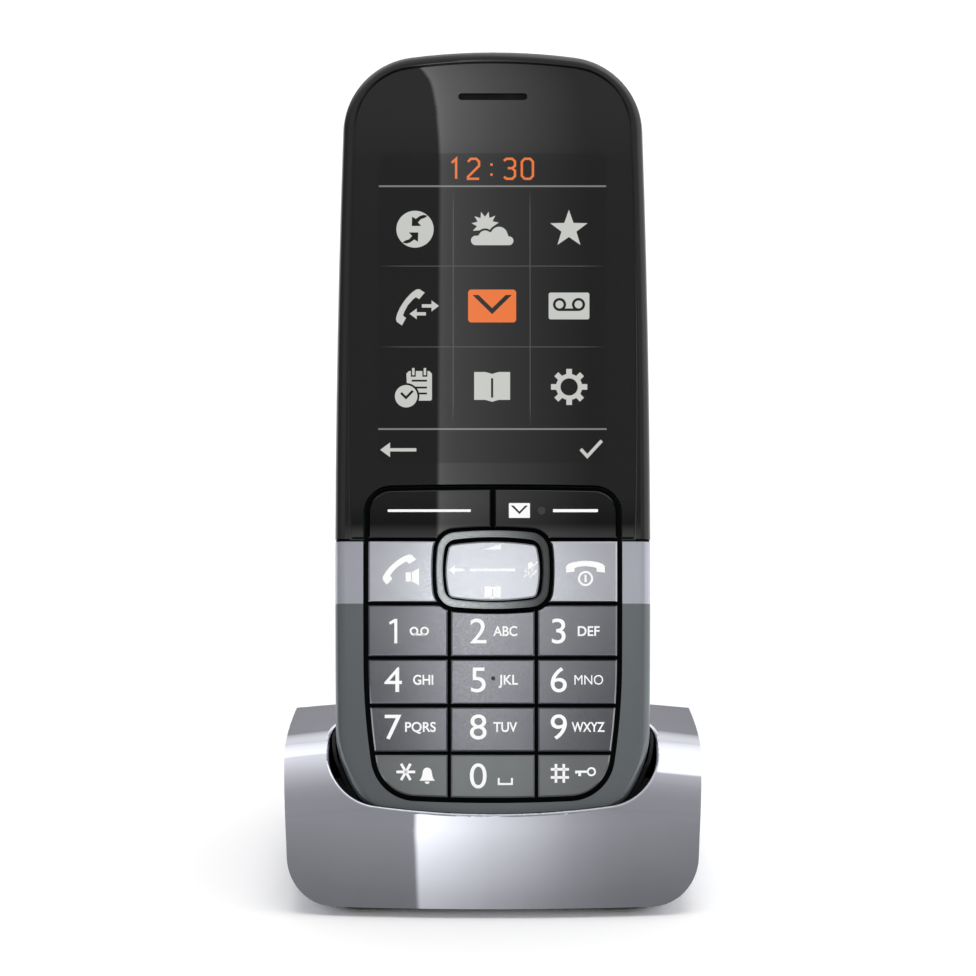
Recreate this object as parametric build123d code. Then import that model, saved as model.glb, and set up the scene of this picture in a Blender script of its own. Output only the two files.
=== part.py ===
"""Cordless telephone handset standing in its charging cradle, in millimetres.

The row frame has +Z up and the desk at Z = 0. The front faces -Y and the origin lies under the middle
of the whole object. Handset pieces are drawn in a handset frame of their own: X across, Y from the
front face (0) towards the back, Z along the length from the foot. SEAT carries that frame into the cradle.
"""

import math
import os

from build123d import *

# Handset case
LENGTH = 122.0
THICKNESS = 16.0
HALF_WIDTH = 24.0
WIDEST_Z = 45.0
SIDE_RADIUS = 2060.0
ARCH_LOW = 1.2
ARCH_HIGH = 2.7
FOOT_CORNER_RADIUS = 18.0
HEAD_CORNER_RADIUS = 12.0
FRONT_EDGE_RADIUS = 1.5
BACK_EDGE_RADIUS = 8.0
CASE_WALL = 1.8
FRONT_WALL = 2.0
CASE_SPLIT_Y = 7.0
FRAME_SPLIT_Z = 46.55
FRAME_SPLIT_GAP = 0.4
TONGUE_DEPTH = 0.8
TONGUE_WALL = 1.0
PART_GAP = 0.15

# Display window and what lies behind it
WINDOW_FRAME_LOW = 2.3
WINDOW_FRAME_WIDE = 2.0
WINDOW_FRAME_HIGH = 3.1
WINDOW_WIDE_Z = 80.0
WINDOW_TOP_FRAME = 1.65
WINDOW_ARCH = 2.3
WINDOW_CORNER_RADIUS = 9.5
WINDOW_GAP = 0.3
WINDOW_RECESS = 0.2
WINDOW_THICKNESS = 1.5
LEDGE_THICKNESS = 1.2
SCREEN_WIDTH = 35.0
SCREEN_LOW_Z = 58.5
SCREEN_HIGH_Z = 106.3
MODULE_MARGIN = 0.8
LCD_THICKNESS = 1.0
EAR_SLOT_LENGTH = 10.6
EAR_SLOT_HEIGHT = 1.05
EAR_SLOT_DROP = 7.1
RECEIVER_SIZE = (12.4, 5.8, 3.0)
MESH_THICKNESS = 0.3

# Keypad
KEYPAD_HALF_WIDTH = 19.7
KEYPAD_LOW_Z = 6.65
KEYPAD_HIGH_Z = 55.15
KEYPAD_LOW_RADIUS = 7.0
KEYPAD_HIGH_RADIUS = 4.3
KEYPAD_ARCH_LOW = 0.6
KEYPAD_ARCH_HIGH = 0.3
KEYPAD_DRAW_Z = 28.65
KEYPAD_DRAW_RADIUS = 105.0
KEY_EDGE_GAP = 0.8
KEY_GAP = 0.55
COLUMN_EDGE_X = 6.6
ROW_EDGES_Z = [14.2, 21.4, 28.65, 36.9, 46.65]
KEY_PROUD = 0.25
SOFTKEY_PROUD = 0.0
KEY_BACK_Y = 2.0
KEY_CHAMFER = 0.22
KEY_TRAVEL = 0.5
STEM_RADIUS = 1.5
STEM_CLEARANCE = 0.3
STEM_END_Y = 3.45
LED_X = 7.4
LED_Z = 51.1
LED_RADIUS = 0.65

# Navigation key: a rocking ring round a select key
NAV_Z = 42.03
NAV_HALF_WIDTH = 8.65
NAV_HALF_HEIGHT = 6.0
NAV_ARCH = 0.55
NAV_RADIUS = 2.9
RING_WIDTH = 1.05
RING_PROUD = 0.6
RING_BACK_Y = 1.1
RING_EDGE_RADIUS = 0.18
SELECT_GAP = 0.45
SELECT_DROP = 0.18
SELECT_PROUD = 0.3
SELECT_BACK_Y = 1.2
SELECT_RADIUS = 0.9
ROCKER_FRAME_Y = (1.7, 2.1)
ROCKER_FRAME_INSET = 0.25
ROCKER_FRAME_WIDTH = 0.7
NAV_DOME_X = 6.4
NAV_DOME_Z = 3.9

# Boards and inner pieces of the handset
PLATE_Y = (2.6, 3.4)
PLATE_RIM_Y = 2.05
PLATE_MARGIN = 1.2
PLATE_LOW_Z = 6.9
BOARD_Y = (4.4, 5.4)
BOARD_LOW_Z = 8.0
BOARD_DROP = 11.0
BOARD_INSET = 2.2
DOME_RADIUS = 2.0
DOME_HEIGHT = 0.3
DOME_FOIL = 0.12
POST_RADIUS = 1.0
LOWER_POST_Z = 26.0
UPPER_POST_SIDE = 1.7
UPPER_POST_INSET = (4.0, 1.3)
SCREW_RADIUS = 0.55
SCREW_HEAD_RADIUS = 0.9
SCREW_HEAD_HEIGHT = 0.7
SCREW_START_Y = 2.8
SCREW_CLEARANCE = 0.05
MIC_Z = 3.9
MIC_RADIUS = 1.9
MIC_HOLE_RADIUS = 0.5
MIC_HEIGHT = 2.1
SHIELD_SIZE = (22.0, 2.2, 16.0)
SHIELD_Z = 93.0
ANTENNA_SIZE = (26.0, 0.4, 5.0)
ANTENNA_DROP = 3.5
SPEAKER_RADIUS = 8.0
SPEAKER_DEPTH = 5.0
SPEAKER_DROP = 27.0
GRILLE_SLOTS = 5
GRILLE_PITCH = 2.4
GRILLE_SLOT = (10.0, 1.0)
MOTOR_RADIUS = 2.0
MOTOR_LENGTH = 10.0
MOTOR_DROP = 13.0

# Battery bay on the back
BATTERY_SIZE = (32.0, 5.4, 49.0)
BATTERY_CLEARANCE = 0.5
BAY_LOW_Z = 28.0
CONTACT_ROOM = 1.6
BAY_FLOOR_Y = 8.4
BAY_WALL = 1.2
COVER_LEDGE = 1.4
COVER_THICKNESS = 1.2
COVER_GAP = 0.25
COVER_CORNER_RADIUS = 3.0
COVER_GRIP_RIBS = 4
COVER_GRIP_PITCH = 2.0
COVER_GRIP_GROOVE = (16.0, 0.7, 0.35)
BATTERY_CONTACT_PITCH = 5.0
BATTERY_CONTACT = (1.6, 3.4, 1.2)

# Charging contacts shared by handset and cradle
PAD_X = 8.0
PAD_Y = (2.6, 5.2)
PAD_WIDTH = 4.0
PAD_DEPTH = 2.4
PAD_CLEARANCE = 0.05
PIN_RADIUS = 0.9
PIN_COLLAR_RADIUS = 1.45
PIN_COLLAR_HEIGHT = 0.4
PIN_TAIL_RADIUS = 0.75
PIN_TAIL_LENGTH = 1.0
PIN_TIP_GAP = 0.06
PIN_HOLE_CLEARANCE = 0.15
SPRING_RADIUS = 1.12
SPRING_WIRE = 0.3
SPRING_TURNS = 3
SPRING_LENGTH = 1.75

# Cradle
LEAN = 23.0
SEAT_SETBACK = 5.15
SEAT_Z = 9.4
CRADLE_SHOULDER_WIDTH = 7.7
CRADLE_SIDE_DRAW = 0.9
CRADLE_LOW_Z = 1.4
CRADLE_SHOULDER_Z = 21.5
CRADLE_CROWN = 2.0
CRADLE_LOW_RADIUS = 7.0
FRONT_LEAN = 18.0
FRONT_SAG = 1.0
BOW_ANGLE = 12.0
CRADLE_TOP_BEHIND = 17.0
CRADLE_FOOT_BEHIND = 35.0
HEEL_SETBACK = 2.5
HEEL_Z = 6.0
FRONT_TOP_RADIUS = 12.0
BACK_TOP_RADIUS = 1.2
HEEL_RADIUS = 9.0
PLAN_BOW_RADIUS = 150.0
PLAN_WIDEST = 8.0
PLAN_BOW_END = 26.5
PLAN_BACK_RADIUS = 9.0
CRADLE_WALL = 2.0
POCKET_CLEARANCE = 0.3
LINER_WALL = 0.5
LINER_GAP = 0.1
LINER_DROP = 0.3
LIP_Z = 4.95
LIP_ARCH = 2.4
LIP_CORNER_RADIUS = 8.0
LIP_STEP = 0.1
LIP_EDGE_RADIUS = 0.5
FLANGE_Y = (0.6, 1.6)
FLANGE_OVERLAP = 0.8

# Cradle underside and inside
BASE_SIDE_FRONT = 5.0
BASE_SIDE_BACK = 8.3
BASE_END_FRONT = 1.9
BASE_END_BACK = 3.4
BASE_Z = (0.6, 2.4)
BASE_RADIUS = 6.0
BASE_GAP = 0.2
BASE_LEDGE = 1.5
FOOT_RADIUS = 4.0
FOOT_SIDE_FRONT = 5.8
FOOT_SIDE_BACK = 8.8
FOOT_END_FRONT = 8.5
FOOT_END_BACK = 9.5
FOOT_RECESS = 0.4
BOSS_SIDE = 6.3
BOSS_END = 17.4
BOSS_RADIUS = 2.6
BASE_SCREW_RADIUS = 1.1
BASE_SCREW_LENGTH = 9.0
BASE_SCREW_HEAD_RADIUS = 2.0
BASE_SCREW_HEAD_HEIGHT = 1.0
BALLAST_SIZE = (30.0, 10.5, 4.5)
BALLAST_END = 14.0
CARRIER_HALF_LENGTH = 11.5
CARRIER_HALF_DEPTH = 2.0
CARRIER_TOP_GAP = 0.1
CHAMBER_RADIUS = 1.6
CONTACT_BOARD_THICKNESS = 0.8
INLET_HALF_WIDTH = 5.0
INLET_Z = (2.5, 7.0)
INLET_END = 7.2
INLET_MOUTH = (6.8, 3.0)
INLET_DEPTH = 4.6
INLET_PIN_RADIUS = 0.4
INLET_PIN_LENGTH = 3.4
INLET_PIN_PITCH = 3.0

# Places that follow from the sizes above
SIN_LEAN = math.sin(math.radians(LEAN))
COS_LEAN = math.cos(math.radians(LEAN))
REACH_BACK = (LENGTH - BACK_EDGE_RADIUS) * SIN_LEAN + (THICKNESS - BACK_EDGE_RADIUS) * COS_LEAN + BACK_EDGE_RADIUS
FRONT_Y = -(SEAT_SETBACK + REACH_BACK) / 2
SEAT = Pos(0, FRONT_Y + SEAT_SETBACK, SEAT_Z) * Rot(X=-LEAN)
WINDOW_HALF_LOW = HALF_WIDTH - WINDOW_FRAME_LOW
WINDOW_HALF_WIDE = HALF_WIDTH - WINDOW_FRAME_WIDE
WINDOW_HALF_HIGH = HALF_WIDTH - WINDOW_FRAME_HIGH
WINDOW_BACK_Y = WINDOW_RECESS + WINDOW_THICKNESS
LEDGE_BACK_Y = WINDOW_BACK_Y + PART_GAP + LEDGE_THICKNESS
LINER_GROW = POCKET_CLEARANCE + LINER_WALL
HOLE_GROW = LINER_GROW + LINER_GAP
PAD_MID_Y = sum(PAD_Y) / 2
EAR_SLOT_Z = LENGTH - EAR_SLOT_DROP
BOARD_HIGH_Z = LENGTH - BOARD_DROP
ANTENNA_Z = BOARD_HIGH_Z - ANTENNA_DROP
SPEAKER_Z = LENGTH - SPEAKER_DROP
MOTOR_Z = LENGTH - MOTOR_DROP
LOWER_POST_X = (KEYPAD_HALF_WIDTH + HALF_WIDTH - CASE_WALL) / 2
UPPER_POST_X = SCREEN_WIDTH / 2 + MODULE_MARGIN + UPPER_POST_SIDE
LOWER_POSTS = [(LOWER_POST_X, LOWER_POST_Z)]
UPPER_POSTS = [
    (UPPER_POST_X, SCREEN_LOW_Z + UPPER_POST_INSET[0]),
    (UPPER_POST_X, SCREEN_HIGH_Z - UPPER_POST_INSET[1]),
]
CRADLE_HALF_TOP = HALF_WIDTH + CRADLE_SHOULDER_WIDTH
CRADLE_HALF_LOW = CRADLE_HALF_TOP - CRADLE_SIDE_DRAW
CRADLE_BACK_EDGE = THICKNESS + CRADLE_TOP_BEHIND
CRADLE_DEPTH = THICKNESS + CRADLE_FOOT_BEHIND
BASE_HALF_FRONT = CRADLE_HALF_LOW - BASE_SIDE_FRONT
BASE_HALF_BACK = CRADLE_HALF_LOW - BASE_SIDE_BACK
FOOT_PLACES = [
    (BASE_HALF_FRONT - FOOT_SIDE_FRONT, FOOT_END_FRONT),
    (BASE_HALF_FRONT - FOOT_SIDE_BACK, CRADLE_DEPTH - FOOT_END_BACK),
]
FAR = 200.0


# Drawing helpers

def prism(sketch, y_from, y_to):
    """A sketch drawn as (x, z), extruded along Y between two depths."""
    return extrude(Plane.XZ.offset(-y_from) * sketch, amount=-(y_to - y_from))


def block(x_from, x_to, y_from, y_to, z_from, z_to):
    """A plain block between two corners."""
    middle = Pos((x_from + x_to) / 2, (y_from + y_to) / 2, (z_from + z_to) / 2)
    return middle * Box(x_to - x_from, y_to - y_from, z_to - z_from)


def rod_y(x, z, radius, y_from, y_to):
    """A round rod along Y."""
    return prism(Pos(x, z) * Circle(radius), y_from, y_to)


def rod_z(x, y, radius, z_from, z_to):
    """A round rod along Z."""
    return Pos(x, y, (z_from + z_to) / 2) * Cylinder(radius, z_to - z_from)


def side_half(z, inset):
    """Half the handset's width at height z, on the side arc moved in by inset."""
    radius = SIDE_RADIUS - inset
    return HALF_WIDTH - SIDE_RADIUS + math.sqrt(radius**2 - (z - WIDEST_Z) ** 2)


def bowed_outline(low, wide, high, arch_low, arch_high, radius_low, radius_high, draw=()):
    """A closed outline with bowed sides and arched ends; low, wide and high are (half width, height).

    Two points in draw, between low and wide, give the sides a second arc towards their lower end.
    """
    low_z = low[1] + arch_low
    high_z = high[1] - arch_high
    side = [(low[0], low_z), *draw, wide, (high[0], high_z)]
    right = [ThreePointArc(*side[i : i + 3]) for i in range(0, len(side) - 2, 2)]
    top = ThreePointArc((high[0], high_z), (0, high[1]), (-high[0], high_z))
    bottom = ThreePointArc((-low[0], low_z), (0, low[1]), (low[0], low_z))
    outline = make_face([*right, top, *[mirror(arc, Plane.YZ) for arc in right], bottom])
    outline = fillet(outline.vertices().group_by(Axis.Y)[-1], radius_high)
    return fillet(outline.vertices().group_by(Axis.Y)[0], radius_low)


def handset_outline(inset=0.0):
    """The case's front outline, moved in by inset."""
    low_z = inset
    high_z = LENGTH - inset
    return bowed_outline(
        (side_half(low_z + ARCH_LOW, inset), low_z),
        (HALF_WIDTH - inset, WIDEST_Z),
        (side_half(high_z - ARCH_HIGH, inset), high_z),
        ARCH_LOW,
        ARCH_HIGH,
        FOOT_CORNER_RADIUS - inset,
        HEAD_CORNER_RADIUS - inset,
    )


def keypad_outline(inset=0.0):
    """The keypad opening's outline, moved in by inset; its sides follow the case's bow and draw in below."""
    low_z = KEYPAD_LOW_Z + inset
    high_z = KEYPAD_HIGH_Z - inset
    side_inset = HALF_WIDTH - KEYPAD_HALF_WIDTH + inset
    bend_half = side_half(KEYPAD_DRAW_Z, side_inset)
    radius = KEYPAD_DRAW_RADIUS - inset

    def drawn_half(z):
        return bend_half - radius + math.sqrt(radius**2 - (KEYPAD_DRAW_Z - z) ** 2)

    draw_z = (low_z + KEYPAD_DRAW_Z) / 2
    wide_z = (KEYPAD_DRAW_Z + high_z) / 2
    return bowed_outline(
        (drawn_half(low_z + KEYPAD_ARCH_LOW), low_z),
        (side_half(wide_z, side_inset), wide_z),
        (side_half(high_z - KEYPAD_ARCH_HIGH, side_inset), high_z),
        KEYPAD_ARCH_LOW,
        KEYPAD_ARCH_HIGH,
        KEYPAD_LOW_RADIUS - inset,
        KEYPAD_HIGH_RADIUS - inset,
        [(drawn_half(draw_z), draw_z), (bend_half, KEYPAD_DRAW_Z)],
    )


def nav_outline(inset=0.0, radius=NAV_RADIUS):
    """The navigation ring's outer outline, moved in by inset."""
    half_width = NAV_HALF_WIDTH - inset
    half_height = NAV_HALF_HEIGHT - inset
    corner = max(radius - inset, 0.5) if radius == NAV_RADIUS else radius
    outline = bowed_outline(
        (half_width - NAV_ARCH, -half_height),
        (half_width, 0),
        (half_width - NAV_ARCH, half_height),
        NAV_ARCH,
        NAV_ARCH,
        corner,
        corner,
    )
    return Pos(0, NAV_Z) * outline


def handset_form(grow=0.0):
    """The whole outer form of the handset as one solid, grown all round by grow."""
    form = prism(handset_outline(-grow), -grow, THICKNESS + grow)
    form = fillet(form.faces().sort_by(Axis.Y)[0].edges(), FRONT_EDGE_RADIUS + grow)
    return fillet(form.faces().sort_by(Axis.Y)[-1].edges(), BACK_EDGE_RADIUS + grow)


def front_edges(solid):
    """The edges round a solid's foremost flat face."""
    return solid.faces().sort_by(Axis.Y)[0].edges()


# Handset case

def case_cavity(front_y):
    """The hollow inside the case, from front_y to the back wall."""
    cavity = prism(handset_outline(CASE_WALL), front_y, THICKNESS - CASE_WALL)
    return fillet(cavity.faces().sort_by(Axis.Y)[-1].edges(), BACK_EDGE_RADIUS - CASE_WALL)


def above(z):
    return block(-FAR, FAR, -FAR, FAR, z, FAR)


def below(z):
    return block(-FAR, FAR, -FAR, FAR, -FAR, z)


def ahead_of(y):
    return block(-FAR, FAR, -FAR, y, -FAR, FAR)


def behind(y):
    return block(-FAR, FAR, y, FAR, -FAR, FAR)


def both_sides(places):
    """Each (x, z) place on the left and on the right."""
    return [(side * x, z) for x, z in places for side in (-1, 1)]


def board_posts(places, y_from):
    """The posts that the main board is screwed to, each with its blind hole."""
    posts = []
    holes = []
    for x, z in both_sides(places):
        posts.append(rod_y(x, z, POST_RADIUS, y_from, BOARD_Y[0]))
        holes.append(rod_y(x, z, SCREW_RADIUS + SCREW_CLEARANCE, SCREW_START_Y - PART_GAP, BOARD_Y[0]))
    return posts, holes


def module_opening(margin):
    """The display module's outline, grown by margin."""
    half = SCREEN_WIDTH / 2 + MODULE_MARGIN + margin
    low = SCREEN_LOW_Z - MODULE_MARGIN - margin
    high = SCREEN_HIGH_Z + MODULE_MARGIN + margin
    return Pos(0, (low + high) / 2) * Rectangle(2 * half, high - low)


def receiver_outline(margin):
    return Pos(0, EAR_SLOT_Z) * RectangleRounded(
        RECEIVER_SIZE[0] + 2 * margin, RECEIVER_SIZE[1] + 2 * margin, RECEIVER_SIZE[1] / 3
    )


def window_outline(inset):
    """The window recess, moved in by inset and cut off square at the split."""
    floor_z = FRAME_SPLIT_Z + FRAME_SPLIT_GAP / 2 + inset
    outline = bowed_outline(
        (WINDOW_HALF_LOW - inset, FRAME_SPLIT_Z - WINDOW_ARCH),
        (WINDOW_HALF_WIDE - inset, WINDOW_WIDE_Z),
        (WINDOW_HALF_HIGH - inset, LENGTH - WINDOW_TOP_FRAME - inset),
        WINDOW_ARCH / 2,
        WINDOW_ARCH,
        WINDOW_ARCH / 4,
        WINDOW_CORNER_RADIUS - inset,
    )
    return outline & (Pos(0, floor_z + FAR / 2) * Rectangle(2 * FAR, FAR))


def make_upper_bezel(form):
    """The black upper frame: a ring with a ledge that carries the window."""
    bezel = form & ahead_of(CASE_SPLIT_Y) & above(FRAME_SPLIT_Z + FRAME_SPLIT_GAP / 2)
    bezel -= prism(window_outline(0), -1, WINDOW_BACK_Y + PART_GAP)
    bezel -= case_cavity(LEDGE_BACK_Y)
    bezel -= prism(module_opening(PART_GAP), 0, CASE_SPLIT_Y)
    bezel -= prism(keypad_outline(), -1, CASE_SPLIT_Y)
    bezel -= prism(receiver_outline(PART_GAP), 0, CASE_SPLIT_Y)
    posts, holes = board_posts(UPPER_POSTS, LEDGE_BACK_Y)
    return bezel + posts - holes


def pad_block(x, grow):
    """The room of one charging pad in the foot of the case."""
    half = PAD_WIDTH / 2 + grow
    return block(x - half, x + half, PAD_Y[0] - grow, PAD_Y[1] + grow, -1, PAD_DEPTH + grow)


def make_lower_frame(form):
    """The metal frame round the keypad, with the microphone hole and the pad slots in its foot."""
    frame = form & ahead_of(CASE_SPLIT_Y) & below(FRAME_SPLIT_Z - FRAME_SPLIT_GAP / 2)
    frame -= prism(keypad_outline(), -1, FRONT_WALL + 1)
    frame -= case_cavity(FRONT_WALL)
    frame -= rod_y(0, MIC_Z, MIC_HOLE_RADIUS, -1, FRONT_WALL + 1)
    frame -= [pad_block(x, PAD_CLEARANCE) for x in (-PAD_X, PAD_X)]
    posts, holes = board_posts(LOWER_POSTS, FRONT_WALL)
    return frame + posts - holes


def bay_rectangle(grow):
    """The battery bay's outline seen from behind, with room for its contacts at the low end."""
    width = BATTERY_SIZE[0] + 2 * (BATTERY_CLEARANCE + grow)
    low = BAY_LOW_Z - CONTACT_ROOM - grow
    high = BAY_LOW_Z + BATTERY_SIZE[2] + BATTERY_CLEARANCE + grow
    return Pos(0, (low + high) / 2) * RectangleRounded(width, high - low, COVER_CORNER_RADIUS)


def make_back_shell(form):
    """The rear casing: tongue, battery bay, cover seat and loudspeaker slots."""
    shell = form & behind(CASE_SPLIT_Y)
    shell -= case_cavity(CASE_SPLIT_Y - 1)
    tongue_inset = CASE_WALL + PART_GAP
    tongue_inside = handset_outline(tongue_inset + TONGUE_WALL)
    shell += prism(handset_outline(tongue_inset) - tongue_inside, CASE_SPLIT_Y - TONGUE_DEPTH, CASE_SPLIT_Y)
    shell += prism(handset_outline(CASE_WALL / 2) - tongue_inside, CASE_SPLIT_Y, CASE_SPLIT_Y + CASE_WALL)
    bay_block = prism(bay_rectangle(BAY_WALL), BAY_FLOOR_Y - BAY_WALL, THICKNESS) & form
    shell += bay_block
    shell -= prism(bay_rectangle(0), BAY_FLOOR_Y, THICKNESS + 1)
    seat_y = THICKNESS - COVER_THICKNESS - COVER_GAP / 2
    shell -= prism(bay_rectangle(COVER_LEDGE + COVER_GAP), seat_y, THICKNESS + 1)
    slot = SlotOverall(*GRILLE_SLOT)
    first = SPEAKER_Z - GRILLE_PITCH * (GRILLE_SLOTS - 1) / 2
    for row in range(GRILLE_SLOTS):
        shell -= prism(Pos(0, first + row * GRILLE_PITCH) * slot, THICKNESS - CASE_WALL - 1, THICKNESS + 1)
    return shell


def make_battery_cover(form):
    """The flush battery cover with its finger grooves."""
    cover = prism(bay_rectangle(COVER_LEDGE), THICKNESS - COVER_THICKNESS, THICKNESS + 1) & form
    length, width, depth = COVER_GRIP_GROOVE
    first = BAY_LOW_Z + 2 * COVER_GRIP_PITCH
    for rib in range(COVER_GRIP_RIBS):
        groove = Pos(0, first + rib * COVER_GRIP_PITCH) * SlotOverall(length, width)
        cover -= prism(groove, THICKNESS - depth, THICKNESS + 1)
    return cover


def make_charge_pads(form):
    """The two metal pads in the foot, flush with the case."""
    return [pad_block(x, 0) & form for x in (-PAD_X, PAD_X)]


# Display and sound

def make_display_window():
    """The window with its two legs beside the softkeys and the earpiece slot."""
    outline = window_outline(WINDOW_GAP) - keypad_outline()
    outline -= Pos(0, EAR_SLOT_Z) * SlotOverall(EAR_SLOT_LENGTH, EAR_SLOT_HEIGHT)
    return prism(outline, WINDOW_RECESS, WINDOW_BACK_Y)


def make_lcd_panel():
    start = WINDOW_BACK_Y + PART_GAP
    return prism(module_opening(0), start, start + LCD_THICKNESS)


def make_backlight():
    start = WINDOW_BACK_Y + 2 * PART_GAP + LCD_THICKNESS
    return prism(module_opening(0), start, BOARD_Y[0] - PART_GAP)


def make_earpiece_mesh():
    start = WINDOW_BACK_Y + PART_GAP
    return prism(receiver_outline(0), start, start + MESH_THICKNESS)


def make_earpiece_receiver():
    start = WINDOW_BACK_Y + 2 * PART_GAP + MESH_THICKNESS
    return prism(receiver_outline(0), start, start + RECEIVER_SIZE[2])


def make_microphone():
    start = FRONT_WALL + PART_GAP
    return rod_y(0, MIC_Z, MIC_RADIUS, start, start + MIC_HEIGHT)


def make_loudspeaker():
    """The ringer: a basket with a narrower magnet behind the grille."""
    face_y = THICKNESS - CASE_WALL - PART_GAP
    basket = rod_y(0, SPEAKER_Z, SPEAKER_RADIUS, face_y - SPEAKER_DEPTH / 2, face_y)
    magnet = rod_y(0, SPEAKER_Z, SPEAKER_RADIUS * 0.6, face_y - SPEAKER_DEPTH, face_y - SPEAKER_DEPTH / 2)
    return basket + magnet


def make_vibration_motor():
    axis_y = THICKNESS - CASE_WALL - PART_GAP - MOTOR_RADIUS
    return Pos(0, axis_y, MOTOR_Z) * Rot(Y=90) * Cylinder(MOTOR_RADIUS, MOTOR_LENGTH)


# Keypad

def cell(x_from, x_to, z_from, z_to):
    """A key's face: its cell of the keypad, less the navigation key's room."""
    rectangle = Pos((x_from + x_to) / 2, (z_from + z_to) / 2) * Rectangle(x_to - x_from, z_to - z_from)
    return (keypad_outline(KEY_EDGE_GAP) & rectangle) - nav_outline(-KEY_GAP)


def key_faces():
    """Every pressed key's face by name, from the foot upwards."""
    half = KEY_GAP / 2
    columns = [(-FAR, -COLUMN_EDGE_X - half), (-COLUMN_EDGE_X + half, COLUMN_EDGE_X - half), (COLUMN_EDGE_X + half, FAR)]
    edges = [-FAR] + ROW_EDGES_Z + [FAR]
    rows = [(low + half, high - half) for low, high in zip(edges, edges[1:])]
    names = [
        ["key_star", "key_0", "key_hash"],
        ["key_7", "key_8", "key_9"],
        ["key_4", "key_5", "key_6"],
        ["key_1", "key_2", "key_3"],
    ]
    faces = {}
    for row, row_names in zip(rows, names):
        for column, name in zip(columns, row_names):
            faces[name] = cell(*column, *row)
    faces["call_key"] = cell(-FAR, 0, *rows[4])
    faces["end_key"] = cell(0, FAR, *rows[4])
    faces["softkey_left"] = cell(-FAR, -half, *rows[5])
    faces["softkey_right"] = cell(half, FAR, *rows[5])
    return faces


def stem_place(face):
    """Where a key's stem stands: the middle of its face."""
    centre = face.center()
    return centre.X, centre.Y


def make_key(name, face):
    """A key cap with a bevelled front and the stem that presses its dome."""
    proud = SOFTKEY_PROUD if name.startswith("softkey") else KEY_PROUD
    cap = prism(face, -proud, KEY_BACK_Y)
    cap = chamfer(front_edges(cap), KEY_CHAMFER)
    return cap + rod_y(*stem_place(face), STEM_RADIUS, KEY_BACK_Y, STEM_END_Y)


def make_message_led():
    """The round light guide in the right softkey."""
    return rod_y(LED_X, LED_Z, LED_RADIUS, SOFTKEY_PROUD, KEY_BACK_Y)


def make_nav_ring():
    ring = prism(nav_outline() - nav_outline(RING_WIDTH), -RING_PROUD, RING_BACK_Y)
    return fillet(front_edges(ring), RING_EDGE_RADIUS)


def make_nav_rocker_frame():
    """The thin web under the ring, which lets it tilt both ways."""
    web = nav_outline(ROCKER_FRAME_INSET) - nav_outline(ROCKER_FRAME_INSET + ROCKER_FRAME_WIDTH)
    return prism(web, *ROCKER_FRAME_Y)


def make_nav_select_key():
    outline = Pos(0, -SELECT_DROP) * nav_outline(RING_WIDTH + SELECT_GAP, SELECT_RADIUS)
    cap = prism(outline, -SELECT_PROUD, SELECT_BACK_Y)
    cap = chamfer(front_edges(cap), KEY_CHAMFER)
    return cap + rod_y(0, NAV_Z, STEM_RADIUS, SELECT_BACK_Y, STEM_END_Y)


def make_keypad_plate(stems):
    """The plate that guides the stems, with a raised rim under the case's front wall."""
    keep = Pos(0, PLATE_LOW_Z + FAR / 2) * Rectangle(2 * FAR, FAR)
    rim_top = Pos(0, FRAME_SPLIT_Z - FRAME_SPLIT_GAP - FAR / 2) * Rectangle(2 * FAR, FAR)
    outline = keypad_outline(PART_GAP) + (keypad_outline(-PLATE_MARGIN) & rim_top)
    plate = prism(outline & keep, PLATE_RIM_Y, PLATE_Y[1])
    plate -= prism(keypad_outline(-PART_GAP), PLATE_RIM_Y - 1, PLATE_Y[0])
    plate -= [rod_y(x, z, STEM_RADIUS + STEM_CLEARANCE, 0, BOARD_Y[0]) for x, z in stems]
    plate -= [rod_y(x, z, POST_RADIUS + PART_GAP, 0, BOARD_Y[0]) for x, z in both_sides(LOWER_POSTS)]
    return plate


def make_dome_sheet(stems):
    """The foil of snap domes on the board, one dome under each stem and four under the ring."""
    around = [(NAV_DOME_X, 0), (-NAV_DOME_X, 0), (0, NAV_DOME_Z), (0, -NAV_DOME_Z)]
    domes = list(stems) + [(x, NAV_Z + z) for x, z in around]
    keep = Pos(0, BOARD_LOW_Z + PART_GAP + FAR / 2) * Rectangle(2 * FAR, FAR)
    foil_front = BOARD_Y[0] - DOME_FOIL
    sheet = prism(keypad_outline(KEY_GAP) & keep, foil_front, BOARD_Y[0])
    for x, z in domes:
        cone = Rot(X=90) * Cone(DOME_RADIUS, DOME_RADIUS / 2, DOME_HEIGHT)
        sheet += Pos(x, foil_front - DOME_HEIGHT / 2, z) * cone
    return sheet & behind(foil_front - DOME_HEIGHT)


# Boards, battery and small parts inside the handset

def make_main_board():
    keep = Pos(0, (BOARD_LOW_Z + BOARD_HIGH_Z) / 2) * Rectangle(2 * FAR, BOARD_HIGH_Z - BOARD_LOW_Z)
    board = prism(handset_outline(BOARD_INSET) & keep, *BOARD_Y)
    places = both_sides(LOWER_POSTS + UPPER_POSTS)
    return board - [rod_y(x, z, SCREW_RADIUS + PART_GAP, 0, CASE_SPLIT_Y) for x, z in places]


def make_board_screws():
    screws = []
    for x, z in both_sides(LOWER_POSTS + UPPER_POSTS):
        head = rod_y(x, z, SCREW_HEAD_RADIUS, BOARD_Y[1], BOARD_Y[1] + SCREW_HEAD_HEIGHT)
        screws.append(rod_y(x, z, SCREW_RADIUS, SCREW_START_Y, BOARD_Y[1]) + head)
    return screws


def on_board_back(size, z):
    """A flat piece on the back of the main board."""
    width, depth, height = size
    return block(-width / 2, width / 2, BOARD_Y[1], BOARD_Y[1] + depth, z - height / 2, z + height / 2)


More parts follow.
